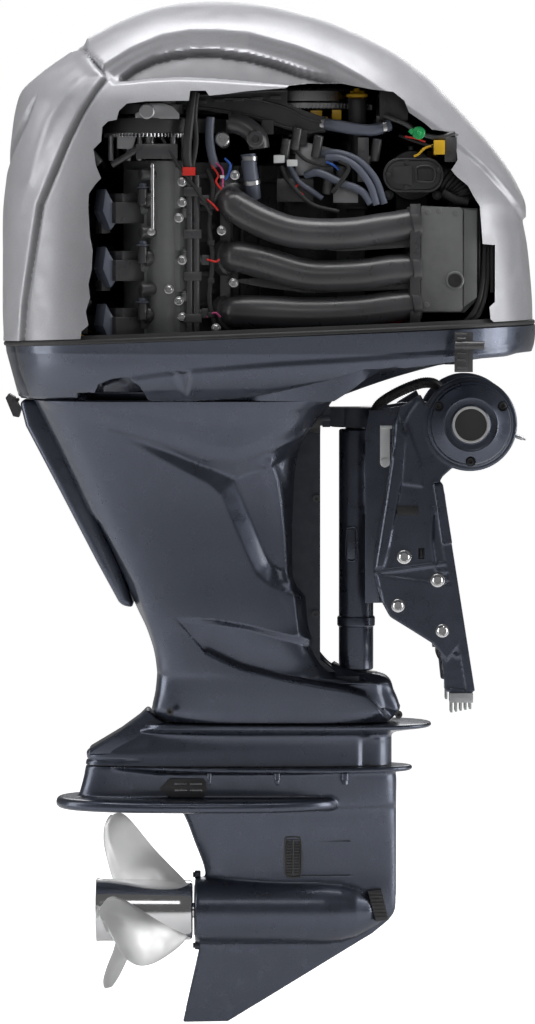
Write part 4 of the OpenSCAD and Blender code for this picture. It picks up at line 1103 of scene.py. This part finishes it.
def air_box():
    tank = Lump()
    tank.prism([(-93, 204), (-12, 204), (11, 228), (11, 392), (-93, 397)], -199, -123)
    tank.prism([(-92, 206), (-20, 206), (-17, 212), (-17, 389), (-22, 394), (-92, 395)], -221, -190)
    tank.prism([(-15, 214), (9, 231), (9, 388), (-15, 391)], -215, -196)
    for x, z in ((-80, 386), (-30, 384), (-82, 218), (-60, 388)):
        tank.lathe((x, -221, z), (0, -1, 0), [(0, 5.5), (0.8, 5)], 16)
    tank.lathe((-31, -220, 262), (0, -1, 0), [(0, 17), (2, 17), (3.4, 15), (3.4, 12.4), (1, 12)], 32)
    tank.both()
    tank.piece("air_box", "motor", GREY_PLASTIC, 3.0, (), "engine_grey", segments=3)
    mouth = Lump()
    mouth.lathe((-31, -221, 262), (0, -1, 0), [(0, 12), (2.6, 12), (2.6, 3), (2, 1)], 32).both()
    mouth.piece("air_box_mouth", "motor", RUBBER, 0, (), "soft_black")
    link = Lump()
    link.box((-80, -121, 236), (0, 121, 356))
    link.box((12, -205, 230), (16, -130, 390)).both()
    link.piece("air_box_bridge", "motor", PLASTIC, 4, ["surge_tank"], "engine_grey")


air_box()

FLYWHEEL_TEETH = 112


def flywheel():
    wheel = Lump()
    wheel.lathe((CRANK_X, 0, 574), (0, 0, 1), [
        (0, 30), (0, 124), (1, 130), (10, 130), (11, 128), (14, 126), (32, 125), (36, 122), (38, 116),
        (34, 112), (18, 108), (14, 60), (26, 52), (26, 10)], 128)
    for i in range(FLYWHEEL_TEETH):
        a = 2 * math.pi * i / FLYWHEEL_TEETH
        c, s = math.cos(a), math.sin(a)
        tooth = [(128, -1.6), (133, -0.8), (133, 0.8), (128, 1.6)]
        wheel.slab([(CRANK_X + x * c - y * s, x * s + y * c) for x, y in tooth], 573.5, 583)
    wheel.piece("ring_gear_flywheel", "crank", STEEL, 0, ["flywheel"], "bright_steel", 30)


flywheel()

CAM_X, CAM_Y = -586.1, 160
PULLEY_R = 78


def belt_path(grow, count=26):
    """Plan-view loop around the crank and cam pulleys."""
    stations = [(CRANK_X, 0, 38 + grow, -60, 60), (CAM_X, CAM_Y, 76 + grow, 53, 173),
                (CAM_X, -CAM_Y, 76 + grow, 187, 307)]
    loop = []
    for x, y, r, a0, a1 in stations:
        for a in np.radians(np.linspace(a0, a1, count)):
            loop.append((x + r * math.cos(a), y + r * math.sin(a)))
    return loop


def drive_belt():
    belt = Lump()
    outside, inside = belt_path(5.2), belt_path(1.0)
    verts = [(x, y, z) for z, loop in ((528, outside), (554, outside), (554, inside), (528, inside))
             for x, y in loop]
    belt.add(verts, grid_faces(4, len(outside), close_rows=True, close_cols=True))
    belt.piece("toothed_drive_belt", "motor", RUBBER, 0.8, ["timing_belt"], "soft_black")


drive_belt()


def belt_pulleys():
    for side, name, body in ((-1, "starboard", "starboard_cam"), (1, "port", "port_cam")):
        gear = Lump()
        gear.lathe((CAM_X, side * CAM_Y, 525), (0, 0, 1), [
            (0, 20), (0, 74), (3, PULLEY_R), (5, 75), (29, 75), (30, PULLEY_R), (32, 74), (32, 62), (20, 58),
            (20, 26), (40, 24), (42, 8)], 96)
        for i in range(72):
            a = 2 * math.pi * i / 72
            x, y = CAM_X + PULLEY_R * math.cos(a), side * CAM_Y + PULLEY_R * math.sin(a)
            gear.rod((x, y, 520.5), (x, y, 527), 1.7, 6)
        gear.rod((CAM_X, side * CAM_Y, 484), (CAM_X, side * CAM_Y, 526), 14)
        gear.piece(name + "_belt_pulley", body, STEEL, 0, [name + "_cam_sprocket"], "engine_grey", 30)


belt_pulleys()


def belt_guard():
    top = Lump()
    for s in (-1, 1):
        y0 = s * CAM_Y
        arc = [(CAM_X + 66 * math.cos(a), y0 + 66 * math.sin(a))
               for a in np.linspace(0, 2 * math.pi, 40)[:-1]]
        top.slab(arc, 562, 580)
        top.slab([(CAM_X + (x - CAM_X) * 0.82, y0 + (y - y0) * 0.82) for x, y in arc], 578, 590)
    top.slab([(-640, -100), (-500, -120), (-452, -60), (-452, 60), (-500, 120), (-640, 100)], 564, 588)
    top.prism([(-560, 572), (-485, 570), (-400, 556), (-330, 534), (-296, 526), (-264, 530), (-264, 556),
               (-333, 580), (-333, 608), (-430, 606), (-485, 600), (-560, 594)], -178, -146)
    for i in range(5):
        top.box((-500 + 34 * i, -182, 582 + 2 * i), (-480 + 34 * i, -176, 588 + 2 * i))
    for line in ([(-558, 590), (-485, 597), (-400, 603), (-336, 605)],
                 [(-556, 576), (-485, 574), (-400, 560), (-333, 539), (-296, 530), (-268, 533)],
                 [(-470, 590), (-400, 590), (-340, 576), (-300, 556), (-268, 546)]):
        top.tube([(x, -178, z) for x, z in line], 2.6, 10, 8)
    for x, z in ((-440, 562), (-380, 548), (-320, 530)):
        top.box((x, -184, z - 22), (x + 22, -160, z + 4))
    top.piece("belt_guard", "motor", PLASTIC, 2.5, ["belt_cover"], "engine_black", segments=3)


belt_guard()


def alloy_brackets():
    cast = Lump()
    cast.prism([(-607, 553), (-528, 553), (-528, 562), (-540, 575), (-556, 581), (-580, 581), (-590, 572),
                (-607, 562)], -238, -222)
    cast.prism([(-640, 500), (-612, 498), (-606, 522), (-640, 522)], -222, -200)
    cast.lathe((-586, -222, 566), (0, -1, 0), [(0, 14), (20, 14), (22, 11), (22, 6)], 24)
    for x in (-652, -620, -600, -540, -520):
        cast.rod((x, -205, 478), (x, -205, 524), 5)
    cast.prism([(-318, 452), (-250, 452), (-250, 500), (-300, 512), (-318, 500)], -170, -140)
    cast.box((-250, -185, 402), (-205, -160, 430))
    cast.both()
    cast.piece("alloy_brackets", "motor", ALLOY, 2, (), "bare_aluminium")


alloy_brackets()


def engine_fittings():
    trims = Lump()
    trims.box((-606, -232, 481), (-531, -206, 508))
    trims.rod((-700, -212, 505), (-672, -218, 472), 9)
    trims.rod((-650, -218, 470), (-600, -226, 500), 6)
    trims.box((-166, -160, 552), (-114, -118, 606))
    trims.box((-172, -156, 540), (-150, -122, 560))
    trims.box((-49, -204, 476), (-27, -178, 521))
    trims.tube([(-166, -140, 596), (-120, -150, 600), (-80, -160, 574), (-48, -176, 536), (-28, -190, 520)],
               7, 12)
    trims.tube([(-158, -176, 560), (-120, -190, 545), (-96, -196, 528), (-60, -200, 520), (-30, -200, 528)],
               5, 10)
    trims.tube([(-436, -186, 548), (-410, -192, 540), (-388, -196, 520), (-384, -196, 500)], 19, 24)
    trims.lathe((-391, -214, 517), (0, -1, 0), [(0, 16), (4, 16), (6, 13), (6, 7), (1, 6)], 28)
    trims.box((-444, -188, 528), (-418, -168, 552))
    for x, z in ((-340, 500), (-320, 520), (-282, 506), (-262, 440), (-240, 452), (-196, 470), (-176, 500)):
        trims.rod((x, -180, z - 22), (x + 6, -186, z + 18), 9)
    trims.box((-352, -176, 404), (-286, -150, 446))
    trims.box((-206, -196, 440), (-186, -170, 520))
    trims.rod((-206, -118, 470), (-206, -118, 548), 12)
    trims.lathe((-206, -118, 546), (0, 0, 1), [(0, 14), (3, 17), (44, 17), (47, 15), (47, 12)], 36)
    trims.both()
    trims.piece("engine_fittings", "motor", SATIN, 1.6, ["oil_filler_tube", "starter_motor"], "engine_black")


engine_fittings()


def starter_can():
    motor_can = Lump()
    motor_can.lathe((-215, 110, 300), (0, 0, 1), [
        (0, 30), (4, 37), (30, 38), (32, 36), (36, 38), (184, 38), (190, 34), (190, 22), (218, 20), (220, 9),
        (249, 9), (250, 7)], 40)
    motor_can.piece("starter_can", "motor", SATIN, 0, (), "engine_black")


starter_can()


def throttle_body():
    throttle = Lump()
    oval = [(-131 + 27 * math.cos(a), 452 + 29 * math.sin(a))
            for a in np.linspace(math.pi / 2, 1.5 * math.pi, 14)]
    oval += [(-80 + 27 * math.cos(a), 452 + 29 * math.sin(a))
             for a in np.linspace(-math.pi / 2, math.pi / 2, 14)]
    throttle.prism(oval, -200, -160)
    throttle.prism([(-105.5 + (x + 105.5) * 0.9, 452 + (z - 452) * 0.86) for x, z in oval], -203, -198)
    throttle.tube([(x, -201, z) for x, z in oval + oval[:1]], 2.4, 10, 3)
    throttle.prism([(-142, 438), (-108, 434), (-108, 470), (-142, 466)], -206, -202, 0.1)
    frame_outline = [(-99, 441), (-69, 441), (-69, 466), (-99, 466), (-99, 441)]
    throttle.tube([(x, -204, z) for x, z in frame_outline], 2.2, 8, 3)
    for x, z in ((-150, 452), (-118, 474), (-60, 462), (-118, 430)):
        throttle.bolt((x, -202, z), (0, -1, 0), 4)
    throttle.lathe((-106, -160, 452), (0, 1, 0), [
        (0, 44), (20, 46), (24, 42), (150, 42), (160, 40), (219, 40), (220, 37)], 48)
    throttle.box((-134, -94, 358), (-78, -18, 420))
    for x in (-150, -62):
        throttle.bolt((x, -178, 416), (0, -1, 0), 6)
    throttle.piece("throttle_housing", "motor", PLASTIC, 1.8, ["throttle_body"], "engine_black", segments=3)
    pane = Lump().box((-97, -205, 443), (-71, -203.4, 464))
    pane.piece("throttle_pane", "motor", RUBBER, 0.5, (), "soft_black")


throttle_body()


def intake_bellows():
    bellows = Lump()
    path = [(-52, -140, 442), (-34, -156, 436), (-18, -164, 420), (-12, -166, 400)]
    bellows.tube(path, [30, 30, 28, 26, 24], 32, 9, ribs=0.1)
    bellows.tube([(-50, -186, 420), (-28, -194, 408), (-6, -194, 404)], 8, 14)
    bellows.both()
    bellows.piece("intake_bellows", "motor", RUBBER, 0, (), "soft_black", 25)


intake_bellows()


def coolant_hoses():
    hoses = Lump()
    for path, r in (
        ([(-266, -168, 545), (-240, -178, 541), (-200, -184, 534), (-172, -182, 535),
          (-148, -174, 543)], 11),
        ([(-404, -196, 490), (-402, -196, 468), (-398, -192, 440), (-394, -180, 412)], 14),
        ([(-472, -206, 556), (-474, -208, 520), (-470, -210, 490), (-462, -210, 466)], 8),
        ([(-270, -176, 492), (-240, -190, 492), (-205, -198, 478), (-175, -204, 446),
          (-158, -206, 400)], 6.5),
        ([(-262, -186, 484), (-236, -198, 482), (-208, -206, 466), (-184, -210, 434),
          (-172, -212, 398)], 6.5),
        ([(-300, -176, 452), (-276, -190, 456), (-240, -198, 440), (-200, -206, 424),
          (-182, -210, 400)], 7),
        ([(-330, -176, 470), (-312, -186, 440), (-290, -190, 424), (-270, -188, 410)], 5)
    ):
        hoses.tube(path, r, 16, 8)
    hoses.both()
    hoses.piece("coolant_hoses", "motor", HOSE, 0, ["engine_hoses"], "engine_grey", 50)


coolant_hoses()


def hose_clips():
    clips = Lump()
    for at, along, r in (
        ((-398, -192, 440), (0.1, 0.2, -1), 15.5),
        ((-266, -168, 545), (1, -0.4, -0.1), 12.6),
        ((-160, -178, 539), (1, 0.3, 0.2), 12.4),
        ((-403, -196, 482), (0, 0, -1), 15.4)
    ):
        clips.lathe(at, along, [(-4, r), (-3.6, r + 1), (3.6, r + 1), (4, r)], 28)
    clips.both()
    clips.piece("hose_clips", "motor", STEEL, 0, (), "bright_steel")


hose_clips()


def cable_loom():
    loom = Lump()
    for path, r in (
        ([(-502, -214, 602), (-508, -224, 560), (-514, -232, 500), (-512, -226, 460)], 8.5),
        ([(-496, -216, 600), (-500, -224, 560), (-498, -226, 510), (-506, -222, 462)], 5),
        ([(-478, -206, 462), (-468, -214, 430), (-474, -220, 360), (-468, -222, 300), (-474, -222, 230),
          (-464, -218, 178)], 4.5),
        ([(-700, -206, 400), (-708, -210, 380), (-704, -212, 350), (-692, -216, 330)], 6),
        ([(-696, -210, 330), (-704, -214, 300), (-704, -214, 250), (-690, -216, 220)], 5),
        ([(-690, -214, 226), (-706, -212, 200), (-704, -206, 170)], 5),
        ([(-560, -226, 520), (-530, -232, 470), (-500, -228, 430), (-470, -226, 380)], 3),
        ([(24, -196, 330), (20, -206, 262), (8, -210, 212), (-16, -206, 182)], 5),
        ([(30, -192, 330), (28, -202, 262), (16, -208, 208), (-8, -206, 178)], 5),
        ([(-320, -182, 500), (-300, -188, 480), (-270, -188, 470), (-250, -186, 470)], 3.5),
        ([(-130, -176, 524), (-110, -192, 516), (-80, -200, 506), (-60, -200, 503)], 3),
        ([(-344, -184, 468), (-330, -196, 440), (-290, -204, 400), (-240, -206, 386)], 4),
        ([(-240, -200, 478), (-222, -206, 466), (-236, -208, 440), (-252, -204, 420)], 4)
    ):
        loom.tube(path, r, 10, 8)
    for z in (200, 262, 330, 396):
        loom.rod((-471, -221, z - 5), (-471, -221, z + 5), 7, 12)
    loom.box((28, -119, 227), (41, 119, 329))
    loom.box((34, -200, 240), (40, -120, 326))
    for z in (166, 262, 356):
        loom.box((-716, -222, z), (-694, -200, z + 26))
    loom.both()
    loom.piece("cable_loom", "motor", RUBBER, 0.6, ["wiring_harness"], "engine_black", 50)


cable_loom()


def wires(name, mat, paths, r=1.8):
    strands = Lump()
    for path in paths:
        strands.tube(path, r, 8, 8)
    strands.both()
    strands.piece(name, "motor", mat, 0, (), None, 60)


wires("red_wires", RED, [
    [(-478, -222, 408), (-466, -228, 398), (-458, -226, 388)],
    [(-478, -222, 300), (-462, -228, 296), (-456, -226, 300)],
    [(-470, -214, 470), (-458, -222, 452), (-462, -224, 440), (-452, -222, 426)],
    [(-310, -182, 440), (-318, -190, 428), (-304, -192, 416)],
    [(-120, -190, 522), (-100, -200, 518), (-84, -202, 512)],
    [(-90, -200, 224), (-93, -208, 210), (-110, -212, 184), (-160, -212, 172)]])
wires("pink_wires", PINK, [
    [(-478, -222, 196), (-464, -228, 204), (-454, -226, 196)],
    [(-462, -216, 474), (-450, -224, 460), (-450, -222, 430)],
    [(-92, -206, 290), (-94, -208, 240), (-98, -208, 206)]])
wires("blue_wires", BLUE, [[(-446, -214, 482), (-436, -222, 470), (-440, -222, 452), (-446, -220, 444)],
                           [(-262, -190, 476), (-250, -198, 470), (-240, -196, 462)]], 2.2)
wires("yellow_wires", YELLOW, [[(-70, -200, 506), (-86, -206, 500), (-96, -204, 490), (-104, -200, 486)],
                               [(-702, -214, 176), (-712, -216, 168), (-700, -216, 160)]], 2.2)


def block_piece(name, body, mat, boxes, slot_name, bevel=1.2):
    part = Lump()
    for lo, hi in boxes:
        part.box(lo, hi)
    part.both()
    part.piece(name, body, mat, bevel, (), slot_name)


block_piece("white_plugs", "motor", WHITE, [
    ((-358, -206, 474), (-338, -192, 488)),
    ((-334, -208, 468), (-315, -192, 480)),
    ((-455, -226, 446), (-447, -216, 452))], None)
block_piece("red_plugs", "motor", RED, [((-522, -238, 451), (-499, -226, 466))], None)
block_piece("yellow_plugs", "motor", YELLOW, [
    ((-69, -212, 489), (-49, -198, 515)),
    ((-291, -150, 553), (-270, -136, 570)),
    ((-252, -150, 553), (-235, -136, 571))], "yellow_plastic")


def green_plug():
    plug = Lump()
    plug.lathe((-96, -196, 528), (0, -1, 0), [(0, 12), (10, 12), (12, 10), (12, 5), (18, 4), (19, 3)], 24)
    plug.rod((-106, -204, 528), (-112, -204, 534), 5)
    plug.piece("green_plug", "motor", GREEN, 0.8, (), None)


green_plug()


def dipstick():
    dip = Lump()
    dip.lathe((-206, -118, 594.5), (0, 0, 1), [
        (0, 12), (0, 19), (1, 20), (5, 20), (6.5, 18), (7, 9), (11, 7), (16, 5)], 36)
    dip.rod((-206, -118, 575), (-206, -118, 596), 11.5)
    dip.slab([(-219, -121), (-193, -121), (-193, -115), (-219, -115)], 599, 606)
    dip.piece("dipstick_handle", "oil_cap", YELLOW, 0.8, ["oil_filler_cap"], "yellow_plastic")


dipstick()

# ---------------------------------------------------------------- brackets and steering

CLAMP = [
    (-90, 54), (-126, 32), (-140, 0), (-143, -56), (-156, -135), (-175, -236), (-176, -260), (-174, -283),
    (-161, -324), (-148, -348), (-128, -361), (-107, -375), (-70, -398), (-58, -412), (-50, -432),
    (-44, -488), (-12, -497), (6, -491), (-20, -320), (-36, -200), (-46, -126), (-52, -117), (-56, -107),
    (-50, -96), (-30, -78)
]
FACE_TILT = math.radians(9)


def clamp(side):
    part = Lump()
    y0, y1 = side * 128.5, side * 149
    part.prism(CLAMP, y0, y1)
    part.prism([(-132, 20), (-118, -20), (-124, -100), (-150, -236), (-158, -262), (-170, -262),
                (-166, -236), (-150, -136), (-138, -56)], side * 146, side * 153.5)
    part.prism([(-170, -272), (-30, -292), (-16, -400), (-40, -432), (-66, -402), (-104, -378), (-146, -352),
                (-158, -326)], side * 146, side * 152.5, 0.03)
    part.prism([(-116, 6), (-92, -60), (-84, -118), (-130, -112), (-136, -60)], side * 146, side * 150.8,
               0.1)
    for line in (
        [(-62, -152), (-54, -190), (-42, -262), (-50, -268), (-62, -262), (-70, -200), (-66, -152)],
        [(-176, -272), (-44, -254)],
        [(-164, -300), (-38, -284)],
        [(-38, -290), (-26, -380), (-18, -420)],
        [(-32, -418), (-22, -424), (-14, -424), (-4, -486), (-36, -486)],
        [(-96, 44), (-118, 10), (-142, -60)]
    ):
        part.tube([(x, side * 149.4, z) for x, z in line], 2.6, 10, 3)
    part.lathe((0, side * 128, 0), (0, side, 0), [(0, 86), (20, 86), (22, 83)], 96)
    for down0, down1, w0, w1 in ((0, 110, 122, 190), (85, 385, 106, 152)):
        flange = []
        for u, v in ((-15.5, -down0), (-0.5, -down0), (-0.5, -down1), (-15.5, -down1)):
            x = -50 + u * math.cos(FACE_TILT) - v * math.sin(FACE_TILT)
            flange.append((x, -107 + u * math.sin(FACE_TILT) + v * math.cos(FACE_TILT)))
        part.prism(flange, side * w0, side * w1)
    return part


def clamps():
    for side, name in ((-1, "starboard"), (1, "port")):
        part = clamp(side)
        obj = part.piece(name + "_transom_clamp", "clamp", NAVY, 0, [name + "_clamp_bracket"], "navy_paint",
                         35, voxel=1.9, relax=4)
        holes = Lump()
        holes.lathe((0, side * 100, 0), (0, side, 0), [(0, 16.2), (80, 16.2)], 48)
        holes.prism([(-94, -246), (-83, -246), (-83, -226), (-94, -226)], side * 120, side * 160)
        for down, w in ((42, 163.8), (245.2, 125.4)):
            x = -50 + down * math.sin(FACE_TILT)
            z = -107 - down * math.cos(FACE_TILT)
            axis = Vector((math.cos(FACE_TILT), 0, math.sin(FACE_TILT)))
            spot = Vector((x, side * w, z))
            holes.rod(spot - axis * 40, spot + axis * 30, 6.5, 32)
        cut(obj, make_object("clamp_holes", holes.v, holes.f))
        settle(obj, "clamp", NAVY, (), 35)


clamps()

# the three screws of the pivot cap, as (x, z) points
CAP_SCREWS = [(67 * math.cos(a), 67 * math.sin(a)) for a in np.radians((30, 150, 270))]


def pivot_cap():
    cap = Lump()
    cap.lathe((0, -150.2, 0), (0, -1, 0), [
        (0, 20), (0, 77), (2, 78), (13, 78), (15, 76.5), (16, 74), (22, 71), (26, 62), (31, 52), (33, 49),
        (32.4, 47.5), (30, 46.8), (29.4, 45), (29.4, 37), (30.2, 36), (32, 35.4), (33, 34), (33, 0.5)], 128)
    pockets = Lump()
    for x, z in CAP_SCREWS:
        pockets.rod((x, -163, z), (x, -190, z), 9.5, 32, 0.02)
    obj = cap.piece("tilt_pivot_cap", "clamp", NAVY, 0, ["tilt_axis_cover"], "navy_paint", 30)
    cut(obj, make_object("cap_pockets", pockets.v, pockets.f))
    settle(obj, "clamp", NAVY, (), 30)


pivot_cap()


def badge_and_label():
    badge = Lump()
    badge.lathe((0, -182.4, 0), (0, -1, 0), [(0, 33.5), (1.6, 33.5), (1.9, 31.5), (1.6, 29.5), (0.8, 29)],
                96)
    badge.piece("blank_badge_ring", "clamp", BRUSHED, 0, (), "bright_steel", 30)
    disc = Lump()
    disc.lathe((0, -182.6, 0), (0, -1, 0), [(0, 28.8), (0.9, 28.4), (1.3, 12), (1.4, 0.5)], 96)
    disc.piece("blank_badge_disc", "clamp", RUBBER, 0, (), "soft_black", 30)
    label = Lump().box((-133, -151.4, -166), (-94, -149.6, -149))
    label.piece("blank_label", "clamp", RUBBER, 0.4, (), "soft_black")


badge_and_label()


def cap_screws():
    screws = Lump()
    for x, z in CAP_SCREWS:
        screws.socket((x, -163, z), (0, -1, 0), 7.5)
    screws.piece("pivot_cap_screws", "clamp", RUBBER, 0.3, ["cover_screws"], "soft_black")


cap_screws()


def grease_fittings():
    fitting = Lump()
    fitting.rod((84, -140, -22), (96, -144, -26), 4)
    fitting.rod((94, -143, -25), (101, -146, -28), 2.4)
    fitting.piece("grease_fittings", "clamp", STEEL, 0, (), "bright_steel")


grease_fittings()

SIDE_BOLTS = [(-120, -242), (-59, -285), (-131, -331), (-50, -377)]


def side_bolt_heads():
    heads = Lump()
    for s in (-1, 1):
        for x, z in SIDE_BOLTS:
            heads.lathe((x, s * 150, z), (0, s, 0), [
                (0, 13), (2, 13), (3, 11.5), (3, 9), (8, 9), (9.5, 7.5), (9.5, 4.2), (6, 4)], 32)
    heads.piece("clamp_side_bolts", "clamp", CHROME, 0, ["bracket_bolts"], "bright_steel")


side_bolt_heads()


def anodes():
    anode = Lump()
    for s in (-1, 1):
        for i in range(5):
            x = -36 + 8.6 * i
            anode.side_box(s, (x, 118, -526 + 1.5 * i), (x + 4.6, 160, -494))
        anode.side_box(s, (-37, 117, -508), (6, 161, -491))
    anode.piece("sacrificial_anodes", "clamp", ZINC, 1, ["bracket_anode"], "zinc")


anodes()


def conduits():
    conduit = Lump()
    for dy, dz, r in ((0, 0, 8), (-13, 0, 6), (12, -4, 7)):
        path = [(-176, -60 + dy, 14 + dz), (-164, -62 + dy, 34 + dz), (-142, -66 + dy, 50 + dz),
                (-114, -68 + dy, 64 + dz), (-84, -70 + dy, 74 + dz), (-62, -72 + dy, 72 + dz),
                (-52, -74 + dy, 58 + dz), (-56, -78 + dy, 36 + dz)]
        conduit.tube(path, r, 16, 14, ribs=0.14)
    conduit.piece("corrugated_conduits", "swivel", RUBBER, 0, ["wiring_conduit"], "soft_black", 20)


conduits()


def tilt_lock_lever():
    lever = Lump()
    lever.prism([(-163, -72), (-163, -8), (-145, -8), (-145, -72), (-149, -80), (-159, -80)], -101, -97)
    lever.lathe((-154, -97, -72), (0, -1, 0), [(0, 9), (6, 9), (8, 7)], 28)
    lever.box((-163, -111, -10), (-141, -99, -4))
    lever.piece("tilt_lock_lever", "tilt_lock", WHITE, 1.2, ["tilt_support_lever"], "bright_steel")


tilt_lock_lever()


def swivel_casting():
    column = Lump()
    column.rod((-205, 0, -460), (-205, 0, -14), 32, 64, 0.08)
    column.tube([(-222, -29, -196), (-224, -28, -226), (-222, -29, -254), (-206, -33, -254),
                 (-204, -33, -226), (-206, -33, -196), (-222, -29, -196)], 2.4, 8, 5)
    for s in (-1, 1):
        column.prism([(-190, -16), (-182, 22), (-120, 32), (-40, 34), (26, 22), (30, -18), (-20, -60),
                      (-100, -120), (-140, -230), (-165, -330), (-190, -330)], s * 80, s * 96)
        column.lathe((0, s * 72, 0), (0, s, 0), [(0, 32), (2, 34), (52, 34), (54, 32)], 48)
    for z in (-60, -190, -330):
        column.box((-190, -95, z), (-158, 95, z + 20))
    column.box((-205, -17, -330), (-176, 17, -30))
    column.rod((-90, -85, 0), (-90, 85, 0), 7)
    column.lathe((-205, 0, -380), (0, 0, 1), [(0, 33), (3, 35), (17, 35), (20, 33)], 64)
    column.rod((-213, -34, -243), (-213, -24, -243), 7)
    column.prism([(-222, -253), (-206, -253), (-206, -199), (-222, -199)], -34.5, -22)
    column.piece("swivel_casting", "swivel", NAVY, 2.2, ["swivel_bracket"], "dark_paint", segments=3)


swivel_casting()


def cowl_catches():
    for side, name in ((-1, "starboard"), (1, "port")):
        catch = Lump()
        y = side * 270
        catch.prism([(-33, 98), (0, 98), (0, 170), (-33, 170)], y, y + side * 4)
        catch.prism([(-31, 100), (-10, 100), (-10, 168), (-31, 168)], y + side * 3, y + side * 6.5, 0.05)
        for i in range(5):
            catch.rod((-28, y + side * 7, 106 + 13 * i), (-13, y + side * 7, 106 + 13 * i), 2, 10)
        catch.rod((-33, side * 274, 146), (21, side * 274, 146), 7.5, 32)
        catch.lathe((-20, side * 274, 146), (1, 0, 0), [(0, 8), (2, 8.2), (8, 8.2), (10, 8)], 32)
        catch.piece(name + "_cowl_catch", name + "_latch", SATIN, 0.8, [name + "_latch"], "soft_black")


cowl_catches()

# finishes of the CAD parts that stay in view; the rest are satin black
PLAIN = {
    "bracket_spacer": DARK, "trim_unit": SATIN, "trim_cylinder": SATIN, "trim_rod": CHROME,
    "tilt_tube": STEEL, "tilt_tube_nut": STEEL, "swivel_bushes": BRONZE, "steering_yoke": DARK,
    "lower_yoke": DARK, "mount_rubbers": RUBBER, "exhaust_housing": DARK, "apron_screws": PLASTIC,
    "bearing_carrier": NAVY, "throttle_valve": ALLOY, "crankshaft": STEEL, "drive_shaft": STEEL,
    "pinion_gear": STEEL, "driven_gear": STEEL, "propeller_shaft": CHROME, "rear_latch": SATIN
}


def finish_cad_nodes():
    for name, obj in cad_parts.items():
        if not obj.hide_render:
            obj.data.materials.clear()
            obj.data.materials.append(PLAIN.get(name, SATIN))
            obj.data.shade_smooth()
            obj.data.set_sharp_from_angle(angle=math.radians(30))


finish_cad_nodes()

# ---------------------------------------------------------------- camera and light

VIEW_CENTRE = Vector((-0.369, 0, -0.168))
VIEW_DISTANCE = 10.0
VIEW_LIFT = math.radians(3)
VIEW_HEIGHT = 1.8944


def camera_and_light():
    cam = bpy.data.cameras.new("camera")
    cam.sensor_fit = "VERTICAL"
    cam.sensor_height = 24
    cam.lens = 24 * VIEW_DISTANCE / VIEW_HEIGHT
    cam.clip_end = 200
    obj = bpy.data.objects.new("camera", cam)
    bpy.context.scene.collection.objects.link(obj)
    obj.location = VIEW_CENTRE + Vector((0, -math.cos(VIEW_LIFT), math.sin(VIEW_LIFT))) * VIEW_DISTANCE
    obj.rotation_euler = (math.pi / 2 - VIEW_LIFT, 0, 0)
    bpy.context.scene.camera = obj
    for name, at, size, power in [
        ("overhead", (-0.4, -0.3, 2.9), (3.2, 1.6), 86),
        ("left_box", (-3.2, -0.4, 0.2), (1.0, 3.0), 32),
        ("right_box", (2.8, -0.6, 0.1), (1.4, 2.8), 60),
        ("front_fill", (-0.8, -4.6, 2.4), (2.2, 1.0), 12),
        ("back_fill", (-0.2, 4.0, 1.6), (2.6, 1.8), 40),
    ]:
        lamp = bpy.data.lights.new(name, "AREA")
        lamp.shape = "RECTANGLE"
        lamp.size, lamp.size_y = size
        lamp.energy = power
        holder = bpy.data.objects.new(name, lamp)
        bpy.context.scene.collection.objects.link(holder)
        holder.location = at
        aim = VIEW_CENTRE + Vector((0, 0, 0.1)) - holder.location
        holder.rotation_euler = aim.to_track_quat("-Z", "Y").to_euler()
    world = bpy.data.worlds.new("studio")
    bpy.context.scene.world = world
    world.use_nodes = True
    tree = world.node_tree
    back = tree.nodes["Background"]
    back.inputs[0].default_value = (1, 1, 1, 1)
    ray = tree.nodes.new("ShaderNodeLightPath")
    level = tree.nodes.new("ShaderNodeMapRange")
    level.inputs["To Min"].default_value = 0.12
    level.inputs["To Max"].default_value = 1.0
    tree.links.new(ray.outputs["Is Camera Ray"], level.inputs["Value"])
    tree.links.new(level.outputs[0], back.inputs[1])
    bpy.context.scene.view_settings.view_transform = "Standard"


def floor():
    n = Nodes("pale_floor")
    n.put(n.shader.inputs["Base Color"], n.mix(n.span(n.noise(3, 3), 0, 1), (0.93, 0.93, 0.935, 1),
                                               (0.97, 0.97, 0.97, 1)))
    n.shader.inputs["Roughness"].default_value = 0.7
    n.put(n.shader.inputs["Normal"], n.bump(n.noise(400, 2), 0.05, 0.001))
    n.shader.inputs["Emission Color"].default_value = (1, 1, 1, 1)
    ray = n.add("LightPath").outputs["Is Camera Ray"]
    n.put(n.shader.inputs["Emission Strength"], n.math("MULTIPLY_ADD", ray, 0.8))
    disc = Lump().lathe((-369, 0, -1150), (0, 0, 1), [(0, 40000), (6, 40000)], 96)
    obj = make_object("floor", disc.v, disc.f)
    obj.data.materials.append(n.mat)


camera_and_light()
floor()
